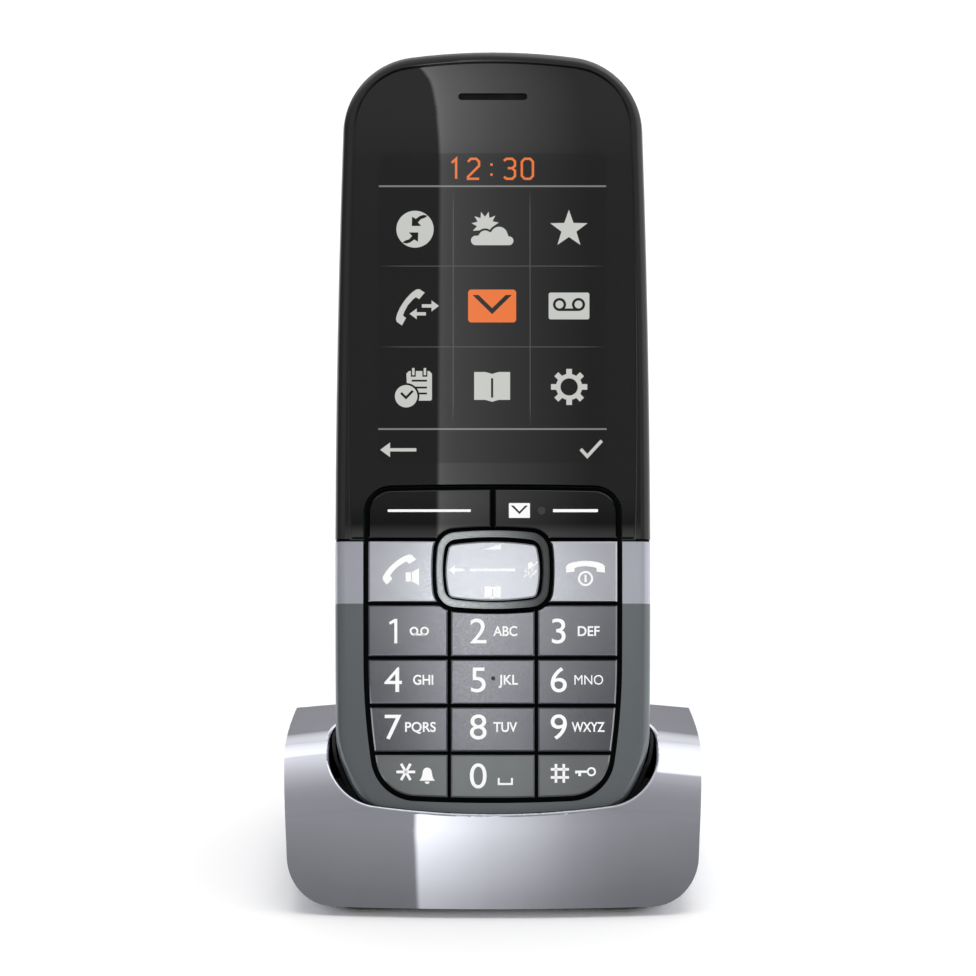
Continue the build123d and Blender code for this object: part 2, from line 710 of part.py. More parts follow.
def make_rf_shield():
    shield = on_board_back(SHIELD_SIZE, SHIELD_Z)
    return fillet(shield.edges().filter_by(Axis.Y), 1.0)


def make_antenna():
    """A flat antenna with a meander cut from alternate sides."""
    strip = on_board_back(ANTENNA_SIZE, ANTENNA_Z)
    pitch = ANTENNA_SIZE[0] / 7
    for cut in range(6):
        side = 1 if cut % 2 else -1
        x = (cut - 2.5) * pitch
        low = ANTENNA_Z + side * ANTENNA_SIZE[2] * 0.25
        high = ANTENNA_Z + side * ANTENNA_SIZE[2]
        strip -= block(x - 0.5, x + 0.5, 0, CASE_SPLIT_Y, min(low - side, high), max(low - side, high))
    return strip


def make_battery():
    width, depth, height = BATTERY_SIZE
    start = BAY_FLOOR_Y + PART_GAP
    outline = Pos(0, BAY_LOW_Z + height / 2) * RectangleRounded(width, height, COVER_CORNER_RADIUS)
    return prism(outline, start, start + depth)


def make_battery_contacts():
    """Three sprung blades between the bay's low end and the battery."""
    width, depth, height = BATTERY_CONTACT
    start = BAY_FLOOR_Y + PART_GAP
    blades = []
    for place in (-1, 0, 1):
        x = place * BATTERY_CONTACT_PITCH
        top = BAY_LOW_Z - PART_GAP
        blade = block(x - width / 2, x + width / 2, start, start + depth, top - height, top)
        blades.append(fillet(blade.edges().filter_by(Axis.X).group_by(Axis.Z)[-1], height / 3))
    return blades


# Cradle form

def cradle_front(inset):
    """The cradle seen from the front: leaning sides and round lower corners, open above the shoulder."""
    low_z = CRADLE_LOW_Z + inset
    spread = (CRADLE_HALF_TOP - CRADLE_HALF_LOW) / (CRADLE_SHOULDER_Z - CRADLE_LOW_Z)
    rise = 2 * CRADLE_SHOULDER_Z
    half_low = CRADLE_HALF_LOW - inset
    half_high = half_low + spread * rise
    high_z = low_z + rise
    corners = [(-half_high, high_z), (-half_low, low_z), (half_low, low_z), (half_high, high_z)]
    outline = make_face(Polyline(*corners, close=True))
    return fillet(outline.vertices().group_by(Axis.Y)[0], CRADLE_LOW_RADIUS - inset)


def cradle_side(inset):
    """The cradle's middle section as (y, z): leaning front, level top, back sloping to the heel."""
    top_z = CRADLE_SHOULDER_Z + CRADLE_CROWN
    front_slope = math.tan(math.radians(FRONT_LEAN))
    heel_slope = HEEL_SETBACK / (HEEL_Z - CRADLE_LOW_Z)
    below_z = -CRADLE_SHOULDER_Z
    heel_y = FRONT_Y + CRADLE_DEPTH - HEEL_SETBACK
    corners = [
        (FRONT_Y + (below_z - CRADLE_LOW_Z) * front_slope, below_z),
        (FRONT_Y + (top_z - CRADLE_LOW_Z) * front_slope, top_z),
        (FRONT_Y + CRADLE_BACK_EDGE, top_z),
        (heel_y, HEEL_Z),
        (heel_y + (HEEL_Z - below_z) * heel_slope, below_z),
    ]
    outline = make_face(Polyline(*corners, close=True))
    if inset:
        outline = offset(outline, amount=-inset, kind=Kind.INTERSECTION)
    heel = outline.vertices().sort_by(Axis.Y)[2]
    back_top, front_top = sorted(outline.vertices().sort_by(Axis.Y)[-2:], key=lambda corner: -corner.X)
    outline = fillet(heel, HEEL_RADIUS)
    outline = fillet(outline.vertices().sort_by_distance(front_top)[0], max(FRONT_TOP_RADIUS - inset, 0.3))
    return fillet(outline.vertices().sort_by_distance(back_top)[0], max(BACK_TOP_RADIUS - inset, 0.3))


def bow_axis():
    """The far axis about which the middle section turns, so that the top is crowned and the front bowed."""
    sag = math.hypot(CRADLE_CROWN, FRONT_SAG)
    radius = CRADLE_HALF_TOP**2 / (2 * sag)
    origin = (0, FRONT_Y + radius * FRONT_SAG / sag, CRADLE_SHOULDER_Z - radius * CRADLE_CROWN / sag)
    return Axis(origin, (0, CRADLE_CROWN / sag, FRONT_SAG / sag))


def plan_half(y):
    """Half the cradle's width where its sides bow, at depth y."""
    return CRADLE_HALF_TOP - (y - FRONT_Y - PLAN_WIDEST) ** 2 / (2 * PLAN_BOW_RADIUS)


def cradle_plan(inset):
    """The cradle seen from above: bowed sides drawn in towards round back corners, open in front."""
    front_y = FRONT_Y - CRADLE_DEPTH / 4
    back_y = FRONT_Y + CRADLE_DEPTH
    middle_y = FRONT_Y + PLAN_BOW_END / 2
    bow_end_y = FRONT_Y + PLAN_BOW_END
    taper = (PLAN_BOW_END - PLAN_WIDEST) / PLAN_BOW_RADIUS
    half = plan_half(front_y)
    half_end = plan_half(bow_end_y)
    half_back = half_end - taper * (back_y - bow_end_y)
    front = Line((-half, front_y), (half, front_y))
    right = ThreePointArc((half, front_y), (plan_half(middle_y), middle_y), (half_end, bow_end_y))
    heel = Polyline((half_end, bow_end_y), (half_back, back_y), (-half_back, back_y), (-half_end, bow_end_y))
    left = ThreePointArc((-half_end, bow_end_y), (-plan_half(middle_y), middle_y), (-half, front_y))
    outline = make_face([front, right, heel, left])
    if inset:
        outline = offset(outline, amount=-inset, kind=Kind.INTERSECTION)
    return fillet(outline.vertices().group_by(Axis.Y)[-1], PLAN_BACK_RADIUS - inset)


def cradle_form(inset=0.0):
    """The cradle's outer form, moved in by inset: the bowed middle section inside its two outlines."""
    axis = bow_axis()
    section = (Plane.YZ * cradle_side(inset)).rotate(axis, -BOW_ANGLE)
    body = revolve(section, axis, 2 * BOW_ANGLE)
    lean = math.radians(FRONT_LEAN)
    upward = Vector(0, math.sin(lean), math.cos(lean))
    height = CRADLE_SHOULDER_Z + 2 * CRADLE_CROWN
    plan = extrude(Pos(0, 0, CRADLE_LOW_Z) * cradle_plan(inset), amount=height / math.cos(lean), dir=upward)
    return body & prism(cradle_front(inset), -FAR, FAR) & plan


def lip_outline(grow=0.0):
    """The opening in the cradle's front, seen along the handset's depth."""
    inset = -HOLE_GROW - LIP_STEP - grow
    low_z = LIP_Z - grow
    high_z = LENGTH / 2
    middle_z = (low_z + high_z) / 2
    return bowed_outline(
        (side_half(low_z + LIP_ARCH, inset), low_z),
        (side_half(middle_z, inset), middle_z),
        (side_half(high_z - LIP_ARCH, inset), high_z),
        LIP_ARCH,
        LIP_ARCH,
        LIP_CORNER_RADIUS + grow,
        LIP_CORNER_RADIUS,
    )


def base_outline(grow=0.0):
    """The floor plate's outline, a little narrower towards the back."""
    front_y = FRONT_Y + BASE_END_FRONT - grow
    back_y = FRONT_Y + CRADLE_DEPTH - BASE_END_BACK + grow
    half_front = BASE_HALF_FRONT + grow
    half_back = BASE_HALF_BACK + grow
    corners = [(-half_front, front_y), (half_front, front_y), (half_back, back_y), (-half_back, back_y)]
    outline = make_face(Polyline(*corners, close=True))
    return fillet(outline.vertices(), BASE_RADIUS)


def boss_places():
    x = BASE_HALF_FRONT - BOSS_SIDE
    y = FRONT_Y + CRADLE_DEPTH - BOSS_END
    return [(-x, y), (x, y)]


def inlet_block(grow):
    half = INLET_HALF_WIDTH + grow
    front_y = FRONT_Y + CRADLE_DEPTH - INLET_END - grow
    return block(-half, half, front_y, FAR, INLET_Z[0] - grow, INLET_Z[1] + grow)


# Cradle pieces

def cover_opening():
    """The opening in the cover's front and top, with the handset's back corners."""
    opening = prism(lip_outline(), -FAR, THICKNESS + HOLE_GROW + LIP_STEP)
    return SEAT * fillet(opening.faces().sort_by(Axis.Y)[-1].edges(), BACK_EDGE_RADIUS + HOLE_GROW)


def rim_edges(body, opening):
    """The edges round the opening: on its wall and on the cradle's outer skin."""
    surfaces = [cradle_form().shells()[0], opening.shells()[0]]
    found = []
    for edge in body.edges():
        middle = Vertex(*edge.position_at(0.5))
        if all(surface.distance_to(middle) < 0.005 for surface in surfaces):
            found.append(edge)
    return found


def make_cradle_cover():
    """The silver shell: form with a rounded opening, hollowed, with screw bosses and an inlet hole."""
    opening = cover_opening()
    cover = cradle_form() - opening
    cover = fillet(rim_edges(cover, opening), LIP_EDGE_RADIUS)
    cover -= cradle_form(CRADLE_WALL)
    cover -= extrude(base_outline(BASE_GAP), amount=BASE_Z[1] + BASE_GAP)
    cover -= extrude(base_outline(-BASE_LEDGE), amount=CRADLE_LOW_Z + CRADLE_WALL + 1)
    for x, y in boss_places():
        boss = rod_z(x, y, BOSS_RADIUS, BASE_Z[1] + PART_GAP, CRADLE_SHOULDER_Z) & cradle_form(CRADLE_WALL / 2)
        hole = rod_z(x, y, BASE_SCREW_RADIUS + SCREW_CLEARANCE, 0, BASE_Z[1] + BASE_SCREW_LENGTH)
        cover = cover + boss - hole
    return cover - SEAT * handset_form(HOLE_GROW) - inlet_block(PART_GAP)


def pin_places():
    return [("left", -PAD_X), ("right", PAD_X)]


def make_cradle_liner():
    """The black tub that the handset stands in, with the flange that closes the front opening's corners."""
    room = handset_form(POCKET_CLEARANCE)
    tub = SEAT * (handset_form(LINER_GROW) - room)
    flange = SEAT * (prism(lip_outline(FLANGE_OVERLAP), *FLANGE_Y) - handset_form(POCKET_CLEARANCE))
    tub -= SEAT * prism(lip_outline(-LINER_GAP), -FAR, FLANGE_Y[0])
    tub &= cradle_form(LINER_DROP)
    flange &= cradle_form(CRADLE_WALL + LINER_GAP)
    liner = tub + flange
    for _, x in pin_places():
        liner -= SEAT * rod_z(x, PAD_MID_Y, PIN_RADIUS + PIN_HOLE_CLEARANCE, -FAR / 10, 0)
    return liner


def make_cradle_base():
    """The floor plate with foot recesses and countersunk screw holes."""
    base = Pos(0, 0, BASE_Z[0]) * extrude(base_outline(), amount=BASE_Z[1] - BASE_Z[0])
    for x, y in foot_places():
        base -= rod_z(x, y, FOOT_RADIUS + PART_GAP, 0, BASE_Z[0] + FOOT_RECESS)
    for x, y in boss_places():
        base -= rod_z(x, y, BASE_SCREW_RADIUS + PART_GAP, 0, BASE_Z[1] + 1)
        base -= rod_z(x, y, BASE_SCREW_HEAD_RADIUS + PART_GAP, 0, BASE_Z[0] + BASE_SCREW_HEAD_HEIGHT)
    return base


def foot_places():
    return [(side * x, FRONT_Y + setback) for x, setback in FOOT_PLACES for side in (-1, 1)]


def make_cradle_feet():
    feet = []
    for x, y in foot_places():
        foot = rod_z(x, y, FOOT_RADIUS, 0, BASE_Z[0] + FOOT_RECESS)
        feet.append(chamfer(foot.edges().group_by(Axis.Z)[0], 0.2))
    return feet


def make_cradle_screws():
    screws = []
    for x, y in boss_places():
        seat_z = BASE_Z[0] + BASE_SCREW_HEAD_HEIGHT
        shank = rod_z(x, y, BASE_SCREW_RADIUS, seat_z, seat_z + BASE_SCREW_LENGTH)
        screws.append(shank + rod_z(x, y, BASE_SCREW_HEAD_RADIUS, BASE_Z[0] + PART_GAP, seat_z))
    return screws


def make_cradle_ballast():
    width, depth, height = BALLAST_SIZE
    y = FRONT_Y + CRADLE_DEPTH - BALLAST_END
    start = BASE_Z[1]
    ballast = block(-width / 2, width / 2, y - depth / 2, y + depth / 2, start, start + height)
    return fillet(ballast.edges().filter_by(Axis.Z), 2.0)


def make_charge_pin(x):
    """A sprung contact pin with a domed tip, a collar and a tail inside its spring."""
    collar_top = -LINER_GROW - CARRIER_TOP_GAP
    collar_low = collar_top - PIN_COLLAR_HEIGHT
    shank = rod_z(x, PAD_MID_Y, PIN_RADIUS, collar_top, -PIN_TIP_GAP)
    shank = fillet(shank.edges().group_by(Axis.Z)[-1], PIN_RADIUS * 0.8)
    collar = rod_z(x, PAD_MID_Y, PIN_COLLAR_RADIUS, collar_low, collar_top)
    tail = rod_z(x, PAD_MID_Y, PIN_TAIL_RADIUS, collar_low - PIN_TAIL_LENGTH, collar_low)
    return SEAT * (shank + collar + tail)


def spring_top():
    return -LINER_GROW - CARRIER_TOP_GAP - PIN_COLLAR_HEIGHT - SPRING_WIRE / 2 - SCREW_CLEARANCE


def make_pin_spring(x):
    """The coil spring under a pin's collar."""
    coil = Helix(SPRING_LENGTH / SPRING_TURNS, SPRING_LENGTH, SPRING_RADIUS)
    section = Plane(coil @ 0, z_dir=coil % 0) * Circle(SPRING_WIRE / 2)
    spring = sweep(section, path=coil)
    return SEAT * Pos(x, PAD_MID_Y, spring_top() - SPRING_LENGTH) * spring


def board_top_z():
    return spring_top() - SPRING_LENGTH - SPRING_WIRE / 2 - SCREW_CLEARANCE


def make_contact_carrier():
    """The bar under the liner that guides both pins in their spring chambers."""
    top = -LINER_GROW - PART_GAP / 2
    bar = block(
        -CARRIER_HALF_LENGTH,
        CARRIER_HALF_LENGTH,
        PAD_MID_Y - CARRIER_HALF_DEPTH,
        PAD_MID_Y + CARRIER_HALF_DEPTH,
        board_top_z(),
        top,
    )
    bar -= [rod_z(x, PAD_MID_Y, CHAMBER_RADIUS, -FAR / 10, 0) for _, x in pin_places()]
    return SEAT * (bar - handset_form(LINER_GROW + PART_GAP / 2))


def make_contact_board():
    top = board_top_z()
    return SEAT * block(
        -CARRIER_HALF_LENGTH,
        CARRIER_HALF_LENGTH,
        PAD_MID_Y - CARRIER_HALF_DEPTH,
        PAD_MID_Y + CARRIER_HALF_DEPTH,
        top - CONTACT_BOARD_THICKNESS,
        top,
    )


def inlet_mouth_centre():
    return (INLET_Z[0] + INLET_Z[1]) / 2


def make_power_inlet():
    """The flat two-pole inlet let into the heel."""
    body = inlet_block(0) & cradle_form(LINER_DROP)
    mouth = Pos(0, inlet_mouth_centre()) * RectangleRounded(*INLET_MOUTH, INLET_MOUTH[1] / 4)
    floor_y = body.bounding_box().max.Y - INLET_DEPTH
    return body - prism(mouth, floor_y, FAR)


def make_inlet_pins(inlet):
    start = inlet.bounding_box().max.Y - INLET_DEPTH
    places = [-INLET_PIN_PITCH / 2, INLET_PIN_PITCH / 2]
    return [rod_y(x, inlet_mouth_centre(), INLET_PIN_RADIUS, start, start + INLET_PIN_LENGTH) for x in places]


# Assembly

def handset_pieces():
    """Every handset node in the handset frame."""
    form = handset_form()
    faces = key_faces()
    stems = [stem_place(face) for face in faces.values()] + [(0, NAV_Z)]
    pieces = {
        "upper_bezel": make_upper_bezel(form),
        "lower_frame": make_lower_frame(form),
        "back_shell": make_back_shell(form),
        "battery_cover": make_battery_cover(form),
        "handset_charge_pads": make_charge_pads(form),
        "display_window": make_display_window(),
        "lcd_panel": make_lcd_panel(),
        "backlight": make_backlight(),
        "earpiece_mesh": make_earpiece_mesh(),
        "earpiece_receiver": make_earpiece_receiver(),
        "microphone": make_microphone(),
        "loudspeaker": make_loudspeaker(),
        "vibration_motor": make_vibration_motor(),
        "keypad_plate": make_keypad_plate(stems),
        "dome_sheet": make_dome_sheet(stems),
        "main_board": make_main_board(),
        "board_screws": make_board_screws(),
        "rf_shield": make_rf_shield(),
        "antenna": make_antenna(),
        "battery": make_battery(),
        "battery_contacts": make_battery_contacts(),
        "nav_ring": make_nav_ring(),
        "nav_rocker_frame": make_nav_rocker_frame(),
        "nav_select_key": make_nav_select_key(),
        "message_led": make_message_led(),
    }
    for name, face in faces.items():
        pieces[name] = make_key(name, face)
    pieces["softkey_right"] -= rod_y(LED_X, LED_Z, LED_RADIUS + SCREW_CLEARANCE, -1, KEY_BACK_Y)
    return pieces


def cradle_pieces():
    """Every cradle node in the row frame."""
    inlet = make_power_inlet()
    pieces = {
        "cradle_cover": make_cradle_cover(),
        "cradle_liner": make_cradle_liner(),
        "cradle_base": make_cradle_base(),
        "cradle_feet": make_cradle_feet(),
        "cradle_screws": make_cradle_screws(),
        "cradle_ballast": make_cradle_ballast(),
        "contact_carrier": make_contact_carrier(),
        "contact_board": make_contact_board(),
        "power_inlet": inlet,
        "inlet_pins": make_inlet_pins(inlet),
    }
    for side, x in pin_places():
        pieces[f"charge_pin_{side}"] = make_charge_pin(x)
        pieces[f"pin_spring_{side}"] = make_pin_spring(x)
    return pieces


def write_node(name, shape):
    """Writes one node's solids to its STEP file."""
    solids = shape if isinstance(shape, list) else [shape]
    export_step(Compound(children=[s for piece in solids for s in piece.solids()]), f"parts/{name}.step")


def main():
    os.makedirs("parts", exist_ok=True)
    for name, shape in handset_pieces().items():
        seated = [SEAT * piece for piece in shape] if isinstance(shape, list) else SEAT * shape
        write_node(name, seated)
    for name, shape in cradle_pieces().items():
        write_node(name, shape)


main()
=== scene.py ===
"""Looks for a cordless telephone handset that stands in its charging cradle.

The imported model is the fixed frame, in metres, with +Z up and the front facing -Y. Key legends and screen
symbols are thin prints drawn in the handset's own frame in millimetres: x across, z along the length from the
foot, y from the front face towards the back.
"""

import math

import bmesh
import bpy
from mathutils import Matrix, Vector
from mathutils.geometry import tessellate_polygon


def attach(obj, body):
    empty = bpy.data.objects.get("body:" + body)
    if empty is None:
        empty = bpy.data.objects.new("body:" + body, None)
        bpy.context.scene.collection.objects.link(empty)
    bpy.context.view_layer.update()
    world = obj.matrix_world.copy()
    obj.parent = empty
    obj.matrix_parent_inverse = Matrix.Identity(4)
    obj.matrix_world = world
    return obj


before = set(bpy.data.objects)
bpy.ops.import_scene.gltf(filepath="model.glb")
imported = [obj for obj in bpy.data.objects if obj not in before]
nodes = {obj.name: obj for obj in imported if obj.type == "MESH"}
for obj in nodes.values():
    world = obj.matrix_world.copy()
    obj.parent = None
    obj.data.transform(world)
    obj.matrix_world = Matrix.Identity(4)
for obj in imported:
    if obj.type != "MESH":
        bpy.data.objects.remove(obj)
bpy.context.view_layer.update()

# The handset's own frame
MM = 0.001
LEAN = math.radians(23.0)
SEAT = Vector((0.0, -27.379, 9.4)) * MM
ALONG = Vector((0.0, math.sin(LEAN), math.cos(LEAN)))
HANDSET = Matrix.Translation(SEAT) @ Matrix.Rotation(-LEAN, 4, "X") @ Matrix.Scale(MM, 4)

# Depths of the faces that carry prints, and how far a print stands proud of its face and sinks into it
KEY_FACE_Y = -0.25
SOFTKEY_FACE_Y = 0.0
SELECT_FACE_Y = -0.3
WINDOW_FACE_Y = 0.2
INK_PROUD = 0.02
INK_SUNK = 0.05
SCREEN_PROUD = 0.03
GRID_PROUD = 0.04
SYMBOL_PROUD = 0.05
WELD_DISTANCE = 0.0005

# Number keys: key, column, row, digit, letters, and the letters' shift to the right and width
DIGIT_HEIGHT = 3.7
DIGIT_STRETCH = 1.06
DIGIT_X = (-15.1, -2.2, 10.0)
LETTER_HEIGHT = 1.42
LETTER_BOLD = 0.035
LETTER_X = (-10.6, 1.9, 14.55)
ROW_Z = (32.7, 25.3, 18.15, 10.75)
LEGENDS = [
    ("key_1", 0, 0, "1", "", 0.0, 0.0),
    ("key_2", 1, 0, "2", "ABC", 0.0, 3.65),
    ("key_3", 2, 0, "3", "DEF", 0.0, 3.3),
    ("key_4", 0, 1, "4", "GHI", 0.05, 3.05),
    ("key_5", 1, 1, "5", "JKL", 0.45, 2.95),
    ("key_6", 2, 1, "6", "MNO", 0.0, 4.35),
    ("key_7", 0, 2, "7", "PQRS", -0.35, 4.65),
    ("key_8", 1, 2, "8", "TUV", 0.0, 3.6),
    ("key_9", 2, 2, "9", "WXYZ", -0.1, 5.0),
    ("key_0", 1, 3, "0", "", 0.0, 0.0),
]
REELS_AT = (LETTER_X[0] - 0.55, ROW_Z[0])
SPACE_AT = (LETTER_X[1], ROW_Z[3] - 0.85)

# The raised dot beside the figure 5
DOT_PLACE = (0.08, 25.5)
DOT_RADIUS = 0.32
DOT_FLATNESS = 0.6

# The other keys: places of their signs, and bars as (left, low, right, high)
ASTERISK_AT, BELL_AT = (-13.16, 11.35), (-9.92, 10.97)
HASH_AT, DOOR_KEY_AT = (10.15, 11.13), (14.03, 11.38)
CALL_AT, CALL_TURN, LOUDSPEAKER_AT = (-14.46, 42.35), 41.0, (-12.21, 40.96)
END_AT, POWER_AT = (14.08, 42.5), (14.09, 40.7)
VOLUME_WEDGE = [(-1.53, 45.1), (1.25, 45.1), (1.25, 45.95)]
SELECT_BAR = (-3.5, 41.8, 3.45, 42.22)
SELECT_ARROW_AT, MUTED_AT, SELECT_BOOK_AT = (-5.5, 42.01), (5.75, 42.0), (-0.03, 38.6)
SOFTKEY_LEFT_BAR = (-16.0, 50.88, -3.35, 51.27)
SOFTKEY_RIGHT_BAR = (9.15, 50.85, 16.0, 51.3)
SOFTKEY_BAR_RADIUS = 0.12
SOFTKEY_ENVELOPE_AT = (4.05, 51.1)

# Screen: its area as (left, low, right, high), the ruled lines, the symbols' places and the clock's figures
SCREEN = (-17.5, 58.4, 17.4, 106.1)
SCREEN_RADIUS = 0.8
RULE_Z = (63.58, 101.0)
RULE_HALF = 0.13
RULE_INSET = 0.05
GRID_X = (-6.05, 5.7)
GRID_Z = (76.2, 88.65)
GRID_HALF = 0.06
GRID_INSET = 0.1
GRID_TO_RULE = 0.4
GRID_FADE = 4.0
ICON_X = (-11.9, -0.1, 11.65)
ICON_Z = (94.35, 82.5, 70.05)
CALENDAR_AT = (ICON_X[0] - 0.2, ICON_Z[2] - 0.15)
BACK_ARROW_AT = (-14.4, 60.4)
TICK, TICK_STROKE = [(13.4, 60.5), (14.4, 59.4), (16.6, 61.8)], 0.5
CLOCK_AT = (-0.2, 103.7)
FIGURE_HEIGHT = 3.1
FIGURE_WIDTH = 1.7
FIGURE_PITCH = 2.75
FIGURE_STROKE = 0.36

# Surfaces: the grain's noise, the line above which a reflection is painted as a lighter band on the frame, the
# shading painted over the ring and the frame, and the span in y over which the cradle's shoulder drops in its
# shading
NOISE_DETAIL = 3.0
NOISE_SPAN = (0.3, 0.7)
BROAD_GRAIN = 20
RELIEF_SHARE = 0.1
REFLECTION_EDGE_Z = 36.9
REFLECTION_EDGE_HALF = 0.05
FRAME_SHADE = (20.0, 0.85, 1.0)
RING_SHADE = (7.0, 1.0, 0.17)
SHOULDER_SPAN = (-18.0, -11.0)
SHOULDER_DROP = 0.22

# Floor and lamps, in metres. A lamp is its strength, its width in degrees and the way it shines
FLOOR_HALF = 15.0
FLOOR_SEEN = 0.97
KEY_LIGHT = (1.2, 40.0, (-0.03, -0.2, -0.98))
FILL_LIGHT = (1.2, 30.0, (-0.05, 0.98, -0.16))

# The studio's brightness by the angle from the back over the top to the front, in degrees. It passes from the
# left to the right curve over SIDE_BLEND and to the side levels over FAR_SIDE, both in the x of the direction.
# Colour ramps hold 0 to 1, so they keep a brightness as a share of BRIGHTEST
BRIGHTEST = 2.0
BEHIND = [
    (0.0, 0.26), (17.0, 0.30), (18.7, 0.32), (20.5, 0.58), (24.0, 0.9), (30.0, 1.1), (36.0, 1.24), (44.0, 1.34),
]
IN_FRONT = [
    (107.0, 0.49), (116.0, 0.42), (126.0, 0.375), (136.0, 0.348), (152.0, 0.335), (165.0, 0.29), (180.0, 0.27),
]
OVER_LEFT = [(54.5, 1.34), (56.5, 0.97), (62.0, 0.95), (74.5, 0.83), (86.0, 0.685), (96.5, 0.58)]
OVER_RIGHT = [(91.0, 1.34), (94.0, 0.6), (98.0, 0.56)]
SIDE_LEVEL_LEFT = 0.2
SIDE_LEVEL_RIGHT = 0.85
SIDE_BLEND = (-0.06, 0.06)
FAR_SIDE = (0.6, 0.95)

# Camera
CAMERA_TARGET = Vector((0.0, -3.74, 65.09)) * MM
CAMERA_ELEVATION = math.radians(17.0)
CAMERA_DISTANCE = 0.8
CAMERA_LENS = 193.7
CAMERA_SENSOR = 36.0
CAMERA_SHIFT = (-0.0049, -0.0399)
CAMERA_CLIP = (0.01, 100.0)


# Flat shapes: a loop is a list of (x, z) points, a group is an outer loop and its holes

def arc(x, z, radius, start, end, count=16):
    """Points on an arc, in degrees."""
    turns = [math.radians(start + (end - start) * i / count) for i in range(count + 1)]
    return [(x + radius * math.cos(t), z + radius * math.sin(t)) for t in turns]


def circle(x, z, radius, count=40):
    """A round loop."""
    turns = [2 * math.pi * i / count for i in range(count)]
    return [(x + radius * math.cos(t), z + radius * math.sin(t)) for t in turns]


def spikes(x, z, outer, inner, points, start, steps):
    """Points of a star, by turns a tip and a notch, at the given half steps from the start angle."""
    loop = []
    for i in steps:
        radius = inner if i % 2 else outer
        turn = math.radians(start + 180.0 * i / points)
        loop.append((x + radius * math.cos(turn), z + radius * math.sin(turn)))
    return loop


def panel(x_from, z_from, x_to, z_to, radius=0.0):
    """A rectangle, with rounded corners if radius is given."""
    if not radius:
        return [(x_from, z_from), (x_to, z_from), (x_to, z_to), (x_from, z_to)]
    corners = [
        (x_to - radius, z_from + radius, -90),
        (x_to - radius, z_to - radius, 0),
        (x_from + radius, z_to - radius, 90),
        (x_from + radius, z_from + radius, 180),
    ]
    return [point for x, z, start in corners for point in arc(x, z, radius, start, start + 90, 6)]


def stroke(points, width):
    """A line of even width along points, as a closed loop with its sharpest mitres held short."""
    path = [Vector(p) for p in points]
    left, right = [], []
    least_mitre = 0.4
    for i, point in enumerate(path):
        before = (point - path[i - 1]).normalized() if i else None
        after = (path[i + 1] - point).normalized() if i < len(path) - 1 else None
        ways = [way for way in (before, after) if way]
        mean = sum(ways, Vector((0.0, 0.0))).normalized()
        side = Vector((-mean.y, mean.x)) * (width / 2 / max(mean.dot(ways[0]), least_mitre))
        left.append(tuple(point + side))
        right.append(tuple(point - side))
    return left + right[::-1]


def placed(groups, x=0.0, z=0.0, degrees=0.0, size=1.0):
    """Groups turned, scaled and moved to a place."""
    c, s = math.cos(math.radians(degrees)) * size, math.sin(math.radians(degrees)) * size

    def moved(loop):
        return [(x + c * u - s * v, z + s * u + c * v) for u, v in loop]

    return [[moved(loop) for loop in loops] for loops in groups]


# Symbols, each drawn about its own middle in millimetres

def envelope(half_width, half_height, radius, line):
    """An envelope: a filled panel with the flap's V left open."""
    flap_x, flap_z, foot = 0.82 * half_width, 0.67 * half_height, -0.5 * half_height
    crotch = foot + line * (flap_z - foot) / flap_x
    right = [(0.0, crotch), (flap_x - line, flap_z), (flap_x, flap_z), (0.0, foot)]
    flap = [(-flap_x, flap_z), (line - flap_x, flap_z)] + right
    return [[panel(-half_width, -half_height, half_width, half_height, radius), flap]]


def exchange():
    """A disc with two arrows cut into it, one turned half round from the other."""
    rim = 2.85
    cut = [
        (1.3, 2.22), (0.75, 2.05), (0.1, 1.6), (-0.45, 1.95), (-0.5, 0.5),
        (0.95, 0.5), (0.45, 1.05), (0.9, 1.55), (1.5, 1.75),
    ]
    half = arc(0, 0, rim, 227, 47, 36) + cut
    return [[half + [(-x, -z) for x, z in half]]]


def cloud_and_sun():
    """A cloud in front of a sun, with a gap between them."""
    gap = 0.33
    left_x, left_z, left_puff = -1.07, -1.2, 1.0
    right_x, right_z, right_puff = 1.06, -0.91, 1.29
    cloud = arc(-2.5, -1.73, 0.74, 270, 75, 12)
    cloud += arc(left_x, left_z, left_puff, 165, 50, 10)
    cloud += arc(right_x, right_z, right_puff, 160, 15, 14)
    cloud += arc(2.58, -1.79, 0.68, 95, -90, 12)
    sun = spikes(-1.07, 0.67, 2.1, 1.25, 11, 75.0, range(-4, 10))
    sun += arc(left_x, left_z, left_puff + gap, 132, 52, 8)
    sun += arc(right_x, right_z, right_puff + gap, 150, 118, 5)
    return [[cloud], [sun]]


def star():
    """A star with five tips."""
    return [[spikes(0.0, 0.0, 3.0, 1.2, 5, 90.0, range(10))]]


def handset_symbol():
    """A telephone handset as an arched bar with two cups, opening downwards."""
    outer = [(2.95, -0.89), (2.93, 0.06), (2.62, 0.41), (1.85, 0.69), (0.9, 0.85)]
    inner = [(1.1, -0.02), (1.66, -0.19), (1.7, -0.75)]
    loop = outer + [(0.0, 0.89)] + [(-x, z) for x, z in outer[::-1]]
    return [[loop + [(-x, z) for x, z in inner[::-1]] + [(0.0, 0.1)] + inner]]


def arrow(length, head, line):
    """An arrow that points along +x."""
    tip, half, barb = length / 2, line / 2, 0.75 * head
    neck = tip - head
    return [[[
        (-tip, -half), (neck, -half), (neck, -barb), (tip, 0.0), (neck, barb), (neck, half), (-tip, half),
    ]]]


def calls():
    """A handset with an arrow each way."""
    groups = placed(handset_symbol(), -1.0, 0.05, 55.5, 1.04)
    groups += placed(arrow(2.62, 1.14, 0.52), 2.37, 0.01)
    return groups + placed(arrow(2.5, 1.1, 0.5), 0.43, -1.21, 180)


def reels(spread, radius, line):
    """Two reels on one tape."""
    groups = [[circle(x, 0, radius), circle(x, 0, radius - line)] for x in (-spread, spread)]
    return groups + [[panel(-spread, -radius, spread, -radius + line)]]


